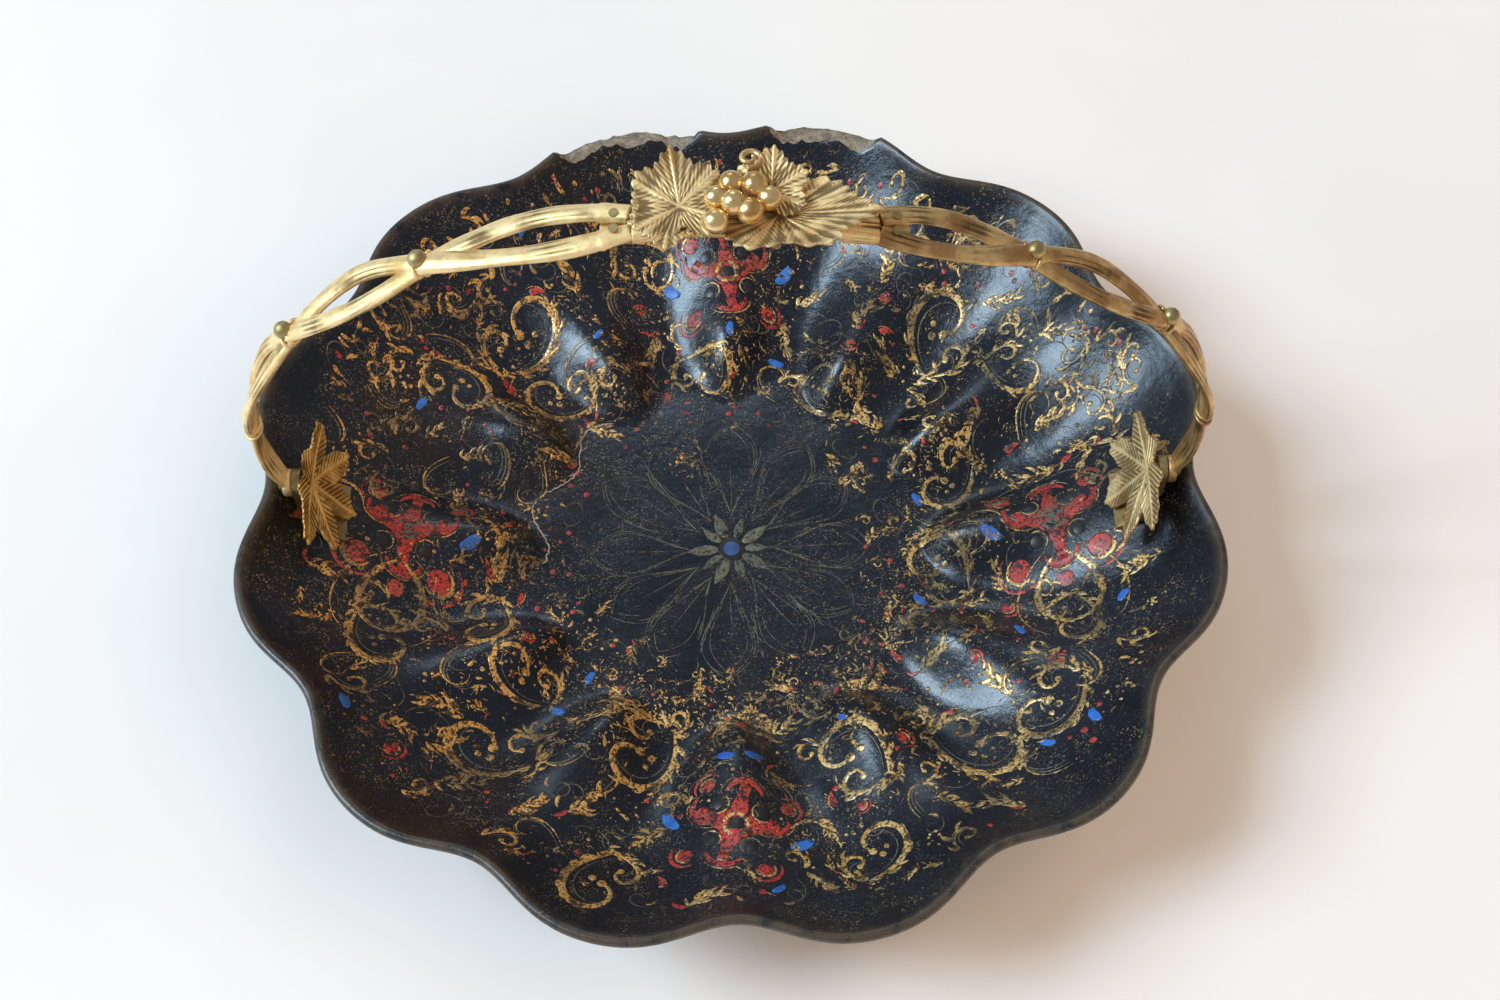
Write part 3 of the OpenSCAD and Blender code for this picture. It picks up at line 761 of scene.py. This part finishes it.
def ring_eye(parts, sides=48):
    """The arm's eye round the hinge pin, with its rims rounded."""
    half, round_r, bevel = EYE_T / 2, 0.5, 0.2
    profile = [
        (EYE_HOLE, -half + bevel), (EYE_HOLE + bevel, -half),
        (EYE_R - round_r, -half), (EYE_R, -half + round_r),
    ]
    profile += [(r, -h) for r, h in reversed(profile)]
    turn = circle(sides)
    rings = [[(PIVOT_X + h, r * math.cos(a), PIVOT_Z + r * math.sin(a)) for r, h in profile] for a in turn]
    columns = len(profile)
    faces = [[v % (sides * columns) for v in face] for face in grid_faces(sides + 1, columns)]
    parts.add(np.array(rings), faces, 0.6)


def make_arm(side, joint_x, material, name, slot):
    """Two strands that cross at each knot, with the eye and the tendrils, as one casting."""
    s, line, up, total = arm_line(joint_x)
    parts = Parts()
    for hand in (1, -1):
        off = hand * strand_off(s, total)
        over = hand * 0.55 * np.cos(math.pi * (s - KNOT_S) / LENS_L) * smooth_step(s, 12, 30)
        path = line + up * over[:, None]
        path[:, 1] = off
        swell = 1 + 0.07 * ripple(40 + hand, s / 9) + 0.1 * np.exp(-(((s - KNOT_S) % LENS_L) / 3) ** 2)
        sweep(parts, path, up, STRAND_W * 0.97 * swell, STRAND_T * 0.95 * swell, 50 + hand)
    ring_eye(parts)
    wraps(parts, s, line, up)
    for points in parts.points:
        points[:, 0] *= side
    if side < 0:
        parts.faces = [face[::-1] for face in parts.faces]
    parts.make(name, material, "handle", slot, [name.replace("_vine", "")])


WRAP_TURNS, WRAP_RUN, WRAP_HIGH, WRAP_WIDE, WRAP_THICK = 2.2, 5.2, 2.25, 3.5, 1.1


def wraps(parts, s, line, up):
    """A thin tendril wound round both strands at each knot."""
    for knot in (KNOT_S, KNOT_S + LENS_L, KNOT_S + 2 * LENS_L):
        turn = np.linspace(0, WRAP_TURNS * TAU, 70)
        at = knot - WRAP_RUN / 2 + WRAP_RUN * turn / turn[-1]
        middle = np.stack([np.interp(at, s, line[:, i]) for i in range(3)], -1)
        normal = np.stack([np.interp(at, s, up[:, i]) for i in range(3)], -1)
        path = middle + normal * (WRAP_HIGH * np.sin(turn))[:, None]
        path[:, 1] += WRAP_WIDE * np.cos(turn)
        tipped = normal + np.array([0.01, 1.0, 0.0]) * 0.01
        sweep(parts, path, tipped, WRAP_THICK, WRAP_THICK, 61, 0.05, 8)


def bell(a, centre, width):
    off = np.abs((a - centre + 180) % 360 - 180)
    return np.exp(-((off / width) ** 2))


def leaf_outline(a, spread, body):
    """Reach of a vine leaf at angle a from its stalk, drawn in to `body` between its points."""
    lobes = [1.0 * bell(a, 0, 0.42 * spread)]
    lobes += [0.88 * bell(a, h * spread, 0.38 * spread) for h in (1, -1)]
    lobes += [0.7 * bell(a, h * 2 * spread, 0.4 * spread) for h in (1, -1)]
    return (body + (1 - body) * np.maximum.reduce(lobes)) * (1 - 0.45 * bell(a, 180, 28))


def leaf_relief(a, f, r, spread, pleats, seed):
    """Veins towards the five points, with side ribs (no pleats) or fine ribs like a fan's."""
    axes = np.array([0, spread, -spread, 2 * spread, -2 * spread])
    off = (a[None, :] - axes[:, None] + 180) % 360 - 180
    off = np.radians(off[np.abs(off).argmin(0), np.arange(len(a))])
    beside, beyond = r * np.sin(off), r * np.cos(off)
    vein = np.exp(-((beside / (0.34 + 0.25 * (1 - f))) ** 2))
    rib = 0.5 + 0.5 * np.cos(TAU * (beyond - 1.1 * np.abs(beside)) / 1.75)
    if pleats:
        fan = np.cos(np.radians(pleats * a) + 1.2 * ripple(seed + 7, f * 3, a / 50))
        rib = 0.5 * rib + 0.5 * (0.5 + 0.5 * fan)
    crumple = ripple(seed + 1, r * np.cos(np.radians(a)) / 2.2, r * np.sin(np.radians(a)) / 2.2)
    return (0.35 if pleats else 0.5) * vein + 0.5 * rib * smooth_step(f, 0.08, 0.3) + 0.12 * crumple, crumple


def leaf_shell(length, width, cup, spread, body, pleats, seed, rings=26, corners=260):
    """A cast vine leaf with a toothed edge and raised ribs: its points, faces and relief."""
    a = np.arange(corners) * 360 / corners
    f = np.linspace(0.02, 1, rings)[:, None]
    frill = 0.5 - 0.5 * np.cos(np.radians((pleats or 38) * a))
    teeth = (0.075 if pleats else 0.06) * frill + 0.03 * ripple(seed, a / 9)
    r = length * f * leaf_outline(a, spread, body) * (1 - teeth * f**5)
    relief, crumple = leaf_relief(a, f, r, spread, pleats, seed)
    x, y = r * np.cos(np.radians(a)), width * r * np.sin(np.radians(a))
    base = cup * f**2 * (1 - 0.35 * np.cos(np.radians(5 * a)))
    base += 0.35 * f**3 * ripple(seed + 5, a / 25) * bool(pleats)
    top = base + 0.66 * (relief - 0.45) + 0.22 * crumple * f
    low = base - LEAF_T * (1.2 - 0.5 * f) + 0.22 * crumple * f
    grid = np.concatenate([np.stack([x, y, top], -1), np.stack([x, y, low], -1)[::-1]])
    marks = np.concatenate([np.clip(relief, 0, 1), np.full_like(relief, 0.35)])
    return grid.reshape(-1, 3), skin_faces(2 * rings, corners), marks.ravel()


def rotation(axis, degrees):
    c, s = math.cos(math.radians(degrees)), math.sin(math.radians(degrees))
    if axis == "y":
        return np.array([[c, 0, s], [0, 1, 0], [-s, 0, c]])
    return np.array([[c, -s, 0], [s, c, 0], [0, 0, 1]])


# Leaves of the spray: place on the stem, level over it, turn, tilt, length and share of full width.
SPRAY = {
    "back_left_leaf": (-12, 0, 1, 98, 10, 17.5, 0.8),
    "front_left_leaf": (-14, 0.5, 0, 262, 3, 13.5, 0.95),
    "back_right_leaf": (11.5, 4.5, 1, 84, 14, 12.5, 0.86),
    "front_right_leaf": (13.5, -1, 0, -1, 3, 26.5, 0.52),
}


def make_spray_leaf(name, x, y, level, turn, tilt, length, width, material, seed):
    points, faces, marks = leaf_shell(
        length, width, cup=0.9, spread=56, body=0.74, pleats=30, seed=seed
    )
    points = points @ (rotation("z", turn) @ rotation("y", -tilt)).T
    points += [x, y, arch_top(x) + STEM_TOP + LEAF_T * 1.2 + level * LEAF_LEVEL]
    parts = Parts()
    parts.add(points, faces, marks)
    parts.make(name + "_cast", material, "handle", "pale_gilt_brass", [name])


# The leaf riveted to each wall: its length, half width and slope, and where its stalk stands.
PLATE_L, PLATE_HALF, PLATE_SLOPE, PLATE_X, PLATE_Z = 22, 23, 64, 129.6, 48
SIDE_REACH = 0.82  # of this leaf's side points, as a share of its length


def make_leaf_plate(side, material):
    points, faces, marks = leaf_shell(
        PLATE_L, PLATE_HALF / PLATE_L / SIDE_REACH, cup=1, spread=44, body=0.4, pleats=0, seed=71 + side
    )
    points = points * [1, 1, -1]
    points = points @ rotation("y", 180 - PLATE_SLOPE).T + [PLATE_X, 0, PLATE_Z]
    points = points * [side, 1, 1]
    if side > 0:
        faces = [face[::-1] for face in faces]
    name = "right_leaf_plate" if side > 0 else "left_leaf_plate"
    parts = Parts()
    parts.add(points, faces, marks)
    parts.make(name + "_cast", material, "dish", "pale_gilt_brass", [name])


def make_stem(material):
    """Three twigs side by side, and a flat tongue under each end for the joint rivets."""
    parts = Parts()
    left, right = -LEFT_JOINT + 0.2, RIGHT_JOINT - 0.2
    twig = STEM_W / 3
    bars = [(left, right, twig * 1.3, STEM_T, STEM_DOWN, 0.25, side * twig) for side in (-1, 0, 1)]
    down = STRAND_T / 2 + TONGUE_T / 2 + 0.1
    bars += [(end - TONGUE_L, end + TONGUE_L, STEM_W, TONGUE_T, down, 0.04, 0) for end in (left, right)]
    for i, (x0, x1, wide, thick, drop, deep, beside) in enumerate(bars):
        x = np.linspace(x0, x1, int((x1 - x0) / 0.6) + 1)
        up = arch_up(x, arch_top(x))
        line = np.stack([x, 0 * x + beside, arch_top(x)], -1) - drop * up
        line[:, 1] += 0.12 * beside * np.sin(x / 5)
        swell = 1 + 0.06 * ripple(81 + i, x / 6)
        sweep(parts, line, up, wide * 0.96 * swell, thick * (0.97 if beside else 1), 83 + i, deep, 40)
    parts.make("centre_stem_cast", material, "handle", "pale_gilt_brass", ["centre_stem"])


def ball(parts, centre, radius, seed, rings=22, corners=30):
    """A slightly uneven ball, closed at both poles by a small face."""
    polar = np.linspace(0.06, math.pi - 0.06, rings)[:, None]
    turn = circle(corners)[None, :]
    way = np.stack([np.sin(polar) * np.cos(turn), np.sin(polar) * np.sin(turn), np.cos(polar) + 0 * turn], -1)
    uneven = 1 + 0.025 * ripple(seed, *np.moveaxis(way * 1.8, -1, 0))
    rows = centre + way * radius * uneven[..., None]
    parts.tube(rows[::-1], 0.75)


def make_grapes(material):
    seat = arch_top(0) + STEM_TOP + LEAF_T + LEAF_LEVEL / 2 + GRAPE_R * 0.8
    places = [(-2.5, 0.5, 0.4), (-2.8, -6.5, -0.3), (6, -4, 0.6), (11, 0.6, 0)]
    places += [(1.4, 5.8, -0.2), (7.2, 4, 1.2), (1.8, -2.2, 1.8)]
    parts = Parts()
    for i, place in enumerate(places):
        ball(parts, np.array(place) + [0, 0, seat], GRAPE_R * (1 + 0.03 * (i % 3 - 1)), 90 + i)
    parts.make("grapes_cast", material, "handle", "dark_gilt_brass", ["grape_cluster"])


def make_tendril(material):
    f = np.linspace(0, 1, 90)
    turn = TAU * 1.4 * f + math.radians(-100)
    r = 3.3 * (1 - 0.72 * f)
    line = np.stack([r * np.cos(turn), r * np.sin(turn), 0.6 * f], -1)
    line += [6.2, 13.4, arch_top(0) + STEM_TOP + 2 * LEAF_LEVEL + 1.4]
    parts = Parts()
    sweep(parts, line, np.tile([0.0, 0, 1], (90, 1)), 1.8 * (1 - 0.3 * f), 1.8 * (1 - 0.3 * f), 99, 0.06, 14)
    parts.make("tendril_cast", material, "handle", "pale_gilt_brass", ["tendril"])


# ---- materials
class Shader:
    """A node material built by short calls."""

    def __init__(self, name):
        self.material = bpy.data.materials.new(name)
        self.material.use_nodes = True
        self.tree = self.material.node_tree
        self.bsdf = self.tree.nodes["Principled BSDF"]
        self.place = self.node("ShaderNodeTexCoord").outputs["Object"]

    def node(self, kind, **settings):
        made = self.tree.nodes.new(kind)
        for key, value in settings.items():
            setattr(made, key, value)
        return made

    def put(self, value, socket):
        if isinstance(value, bpy.types.NodeSocket):
            self.tree.links.new(value, socket)
        else:
            socket.default_value = value

    def math(self, operation, a, b):
        made = self.node("ShaderNodeMath", operation=operation)
        self.put(a, made.inputs[0])
        self.put(b, made.inputs[1])
        return made.outputs[0]

    def times(self, a, b):
        return self.math("MULTIPLY", a, b)

    def mix(self, share, a, b):
        made = self.node("ShaderNodeMix", data_type="RGBA")
        self.put(share, made.inputs["Factor"])
        self.put(a, made.inputs["A"])
        self.put(b, made.inputs["B"])
        return made.outputs["Result"]

    def noise(self, scale, detail=4.0, roughness=0.55, distortion=0.0, stretch=(1, 1, 1)):
        made = self.node("ShaderNodeTexNoise")
        shift = self.node("ShaderNodeMapping")
        shift.inputs["Scale"].default_value = stretch
        self.put(self.place, shift.inputs["Vector"])
        self.put(shift.outputs[0], made.inputs["Vector"])
        made.inputs["Scale"].default_value = scale
        made.inputs["Detail"].default_value = detail
        made.inputs["Roughness"].default_value = roughness
        made.inputs["Distortion"].default_value = distortion
        return made.outputs["Fac"]

    def cells(self, scale):
        """Distance to the nearest of many scattered points."""
        made = self.node("ShaderNodeTexVoronoi")
        self.put(self.place, made.inputs["Vector"])
        made.inputs["Scale"].default_value = scale
        return made.outputs["Distance"]

    def ramp(self, value, low, high, from_value=0.0, to_value=1.0):
        made = self.node("ShaderNodeMapRange", interpolation_type="SMOOTHSTEP")
        for socket, given in zip(made.inputs, (value, low, high, from_value, to_value)):
            self.put(given, socket)
        return made.outputs[0]

    def mark(self, name):
        return self.node("ShaderNodeAttribute", attribute_name=name).outputs["Fac"]

    def axis(self, which):
        split = self.node("ShaderNodeSeparateXYZ")
        self.put(self.place, split.inputs[0])
        return split.outputs[which]

    def distance_out(self):
        """Distance from the Z axis."""
        flat = self.node("ShaderNodeVectorMath", operation="MULTIPLY")
        self.put(self.place, flat.inputs[0])
        flat.inputs[1].default_value = (1, 1, 0)
        length = self.node("ShaderNodeVectorMath", operation="LENGTH")
        self.put(flat.outputs["Vector"], length.inputs[0])
        return length.outputs["Value"]

    def bump(self, height, distance, strength=1.0, under=None):
        made = self.node("ShaderNodeBump")
        made.inputs["Distance"].default_value = distance
        made.inputs["Strength"].default_value = strength
        self.put(height, made.inputs["Height"])
        if under is not None:
            self.put(under, made.inputs["Normal"])
        return made.outputs[0]

    def finish(self, **sockets):
        for key, value in sockets.items():
            self.put(value, self.bsdf.inputs[key.replace("_", " ").title().replace("Ior", "IOR")])
        return self.material


def rgb(r, g, b):
    return (r, g, b, 1.0)


def lacquer_material():
    s = Shader("painted_black_lacquer")
    broad = s.noise(28, 5, 0.6)
    ground = s.mix(s.ramp(broad, 0.35, 0.7), rgb(0.0035, 0.0052, 0.0105), rgb(0.0075, 0.0105, 0.0190))
    # Browner in patches towards the left: painted warm sheen of the right-hand fill on the walls that face
    # it, partly brown patina of the lacquer.
    left_warm_sheen_and_patina = s.times(s.ramp(s.noise(16, 4, 0.6), 0.42, 0.7), s.ramp(s.axis("X"), 0.06, -0.13))
    ground = s.mix(left_warm_sheen_and_patina, ground, rgb(0.015, 0.0085, 0.0060))
    dust = s.times(s.ramp(s.noise(1300, 3, 0.75), 0.60, 0.67), s.ramp(s.noise(60, 3), 0.35, 0.60))
    ground = s.mix(s.times(dust, 0.8), ground, rgb(0.21, 0.205, 0.20))
    for scale, size, cover in ((560, 0.24, 0.48), (1100, 0.30, 0.44)):
        fleck = s.ramp(s.cells(scale), size, size * 0.5)
        fleck = s.times(fleck, s.ramp(s.noise(52, 4, 0.7), cover, cover + 0.12))
        fleck = s.times(fleck, s.ramp(s.noise(240, 3, 0.6), 0.40, 0.56))
        fleck = s.times(fleck, s.ramp(s.distance_out(), 0.030, 0.064, 0.36, 0.65))
        ground = s.mix(fleck, ground, rgb(0.42, 0.29, 0.115))
    edge = s.mark("edge")
    worn = s.times(edge, s.ramp(s.noise(130, 4, 0.65), 0.30, 0.55))
    colour = s.mix(s.times(worn, 0.85), ground, rgb(0.072, 0.053, 0.031))
    rough = s.ramp(s.noise(75, 5, 0.6), 0.25, 0.75, 0.18, 0.32)
    rough = s.math("ADD", rough, s.times(edge, 0.15))
    skin = s.bump(s.noise(1500, 4, 0.75), 0.00008)
    grain = s.bump(s.noise(380, 4, 0.6), 0.00017, 1.0, skin)
    dents = s.bump(s.noise(70, 3, 0.5), 0.0007, 1.0, grain)
    return s.finish(
        base_color=colour, roughness=rough, normal=dents, specular_ior_level=0.62,
        specular_tint=rgb(0.82, 0.92, 1.0), coat_weight=0.16, coat_roughness=0.14,
    )


def pulp_material():
    s = Shader("broken_paper_pulp")
    layers = s.noise(260, 6, 0.7, 0.4, (1, 1, 5))
    colour = s.mix(s.ramp(layers, 0.3, 0.7), rgb(0.13, 0.108, 0.080), rgb(0.37, 0.325, 0.255))
    colour = s.mix(s.ramp(s.noise(900, 3, 0.7), 0.58, 0.72), colour, rgb(0.045, 0.035, 0.028))
    coarse = s.bump(layers, 0.0006)
    fine = s.bump(s.noise(1500, 4, 0.7), 0.0003, 1.0, coarse)
    return s.finish(base_color=colour, roughness=0.95, normal=fine)


def brass_material(name, bright, brown, dark, tarnish, rough, metallic, relief=True):
    """Cast brass: bright on what stands out, brown on the flats and dark in the recesses."""
    s = Shader(name)
    bright, brown, dark = rgb(*bright), rgb(*brown), rgb(*dark)
    patch = s.ramp(s.noise(95, 5, 0.62), 0.62 - 0.35 * tarnish, 0.80 - 0.25 * tarnish)
    colour = s.mix(patch, bright, brown)
    fine = s.ramp(s.noise(520, 4, 0.65), 0.42, 0.72)
    colour = s.mix(s.times(fine, 0.45), colour, brown)
    roughness = s.ramp(s.noise(210, 4), 0.3, 0.7, *rough)
    if relief:
        raised = s.math("ADD", s.mark("relief"), s.times(s.noise(300, 3), 0.35))
        hollow = s.ramp(raised, 0.66, 0.26)
        colour = s.mix(s.times(hollow, 0.85), colour, dark)
        roughness = s.math("ADD", roughness, s.times(hollow, 0.25))
    skin = s.bump(s.noise(800, 4, 0.6), 0.00008)
    return s.finish(
        base_color=colour, metallic=metallic, roughness=roughness,
        normal=s.bump(s.noise(150, 4, 0.6), 0.00025, 1.0, skin),
    )


def paint_material(name, colour, other, worn, fading=0.0, metallic=0.0, roughness=0.45):
    """A painted or gilded layer, rubbed through to the lacquer in patches."""
    s = Shader(name)
    tone = s.mix(s.ramp(s.noise(170, 4, 0.6), 0.35, 0.65), colour, other)
    faded = s.ramp(s.noise(42, 3, 0.6), 0.46, 0.60, 0.0, fading)
    # Oranger towards the left: painted warm light from the fill on the right, which the left walls face.
    painted_warm_light_left = s.ramp(s.axis("X"), 0.04, -0.10, 0.0, 0.5)
    tone = s.mix(painted_warm_light_left, tone, rgb(other[0] * 1.05, other[1] * 0.72, other[2] * 0.4))
    fine = s.ramp(s.noise(1150, 3, 0.6), 0.66 - worn * 0.30, 0.71 - worn * 0.28)
    coarse = s.ramp(s.noise(270, 4, 0.65), 0.70 - worn * 0.34, 0.76 - worn * 0.34)
    rubbed = s.times(s.math("MAXIMUM", fine, coarse), 0.93)
    tone = s.mix(faded, tone, rgb(0.11, 0.10, 0.06))
    tone = s.mix(rubbed, tone, rgb(0.008, 0.009, 0.012))
    metal = s.times(s.math("SUBTRACT", 1.0, rubbed), metallic)
    return s.finish(
        base_color=tone, metallic=metal, roughness=roughness, coat_weight=0.15, coat_roughness=0.2,
        normal=s.bump(s.noise(900, 3, 0.6), 0.00005),
    )


# ---- stage
CAMERA_ELEVATION, CAMERA_TURN = math.radians(57.5), math.radians(1.1)
CAMERA_DISTANCE, CAMERA_LENS = 636.5, 46.3
AIM = (6.3, 13.4, 12.6)
FLOOR_SIZE = 9000.0


def make_stage():
    s = Shader("pale_floor")
    colour = s.mix(s.ramp(s.noise(3, 4), 0.3, 0.7), rgb(0.80, 0.795, 0.78), rgb(0.86, 0.855, 0.84))
    material = s.finish(base_color=colour, roughness=0.7, normal=s.bump(s.noise(60, 4), 0.0004, 0.4))
    half = FLOOR_SIZE / 2 * MM
    mesh = bpy.data.meshes.new("floor")
    corners = [(-half, -half, 0), (half, -half, 0), (half, half, 0), (-half, half, 0)]
    mesh.from_pydata(corners, [], [(0, 1, 2, 3)])
    mesh.materials.append(material)
    link("floor", mesh)


def area_light(name, direction, distance, size, power, colour):
    """A rectangular light that faces the dish from a direction. Distance and size are in metres."""
    light = bpy.data.lights.new(name, "AREA")
    light.shape = "RECTANGLE"
    light.size, light.size_y = size
    light.energy = power
    light.color = colour
    lamp = link(name, light)
    away = Vector(direction).normalized()
    lamp.location = away * distance
    lamp.rotation_euler = away.to_track_quat("Z", "Y").to_euler()
    return lamp


def make_light():
    area_light(
        "window", direction=(-0.74, -0.06, 0.68), distance=3.4, size=(1.4, 1.6),
        power=124, colour=(0.69, 0.86, 1.0),
    )
    area_light(
        "back_window", direction=(-0.10, 0.85, 0.65), distance=2.4, size=(0.9, 0.6),
        power=5, colour=(0.70, 0.86, 1.0),
    )
    fill = area_light(
        "warm_fill", direction=(0.80, -0.45, 0.80), distance=2.6, size=(4.4, 4.4),
        power=80, colour=(1.0, 0.68, 0.44),
    )
    fill.visible_glossy = False
    world = bpy.data.worlds.new("room")
    bpy.context.scene.world = world
    world.use_nodes = True
    back = world.node_tree.nodes["Background"]
    back.inputs["Color"].default_value = rgb(0.95, 0.97, 1.0)
    back.inputs["Strength"].default_value = 0.22
    bpy.context.scene.view_settings.view_transform = "Standard"


def make_camera():
    camera = bpy.data.cameras.new("camera")
    camera.lens = CAMERA_LENS
    camera.clip_start, camera.clip_end = 0.05, 20
    eye = link("camera", camera)
    flat = math.cos(CAMERA_ELEVATION)
    ahead = Vector((flat * math.sin(CAMERA_TURN), flat * math.cos(CAMERA_TURN), -math.sin(CAMERA_ELEVATION)))
    eye.location = (Vector(AIM) - ahead * CAMERA_DISTANCE) * MM
    eye.rotation_euler = (-ahead).to_track_quat("Z", "Y").to_euler()
    bpy.context.scene.camera = eye


# ---- making
lacquer, pulp = lacquer_material(), pulp_material()
PALE = brass_material(
    "pale_gilt_brass", (1.0, 0.77, 0.40), (0.72, 0.47, 0.175), (0.14, 0.075, 0.025),
    tarnish=0.42, rough=(0.42, 0.60), metallic=0.64,
)
BROWN = brass_material(
    "brown_gilt_brass", (0.80, 0.56, 0.25), (0.44, 0.245, 0.095), (0.06, 0.032, 0.012),
    tarnish=0.7, rough=(0.34, 0.56), metallic=0.8,
)
GRAPE = brass_material(
    "grape_brass", (1.0, 0.74, 0.36), (0.66, 0.38, 0.12), (0.10, 0.05, 0.018),
    tarnish=0.45, rough=(0.20, 0.34), metallic=0.85,
)
PLAIN = brass_material(
    "plain_brass", (0.55, 0.42, 0.20), (0.33, 0.22, 0.09), (0.05, 0.03, 0.01),
    tarnish=0.5, rough=(0.35, 0.6), metallic=0.92, relief=False,
)
# The left leaf plate's brass: a more orange, brightened copy of the right plate's, painted warm light for a
# plate that faces away from the window and towards the warm fill.
AMBER_PAINTED_LIGHT = brass_material(
    "amber_brass_painted_light", (1.0, 0.64, 0.20), (0.58, 0.30, 0.07), (0.08, 0.035, 0.01),
    tarnish=0.5, rough=(0.30, 0.5), metallic=0.6,
)
PAINTS = {
    "crack": paint_material("pale_crack", rgb(0.60, 0.57, 0.52), rgb(0.40, 0.37, 0.33), 0.2),
    "line": paint_material("dull_line", rgb(0.17, 0.16, 0.11), rgb(0.10, 0.105, 0.09), 0.4, 0.4),
    "red": paint_material("red_paint", rgb(0.54, 0.050, 0.040), rgb(0.36, 0.032, 0.028), 0.46, 0.3),
    "blue": paint_material("blue_paint", rgb(0.030, 0.20, 0.68), rgb(0.02, 0.10, 0.42), 0.12),
    "olive": paint_material("olive_paint", rgb(0.15, 0.16, 0.11), rgb(0.09, 0.10, 0.075), 0.4),
    "gold": paint_material("gold_paint", rgb(0.76, 0.54, 0.23), rgb(0.64, 0.37, 0.09), 0.50, 0.74, 0.3, 0.36),
    "dark": paint_material("dark_paint", rgb(0.010, 0.011, 0.014), rgb(0.02, 0.02, 0.02), 0.1),
    "centre": paint_material("blue_centre", rgb(0.035, 0.10, 0.30), rgb(0.03, 0.06, 0.17), 0.1),
}

make_camera()
make_stage()
make_light()
make_dish(lacquer, pulp)
ornament()
for layer_name, parts in paint.items():
    parts.make(layer_name + "_ornament", PAINTS[layer_name.split("_")[0]], "dish", "black_lacquer")
make_arm(-1, LEFT_JOINT, PALE, "left_arm_vine", "pale_gilt_brass")
make_arm(1, RIGHT_JOINT, BROWN, "right_arm_vine", "dark_gilt_brass")
make_stem(PALE)
for i, (leaf_name, shape) in enumerate(SPRAY.items()):
    make_spray_leaf(leaf_name, *shape, PALE, 101 + 10 * i)
make_leaf_plate(-1, AMBER_PAINTED_LIGHT)
make_leaf_plate(1, PALE)
make_grapes(GRAPE)
make_tendril(BROWN)
for cad_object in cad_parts.values():
    cad_object.data.materials.clear()
    cad_object.data.materials.append(PLAIN)
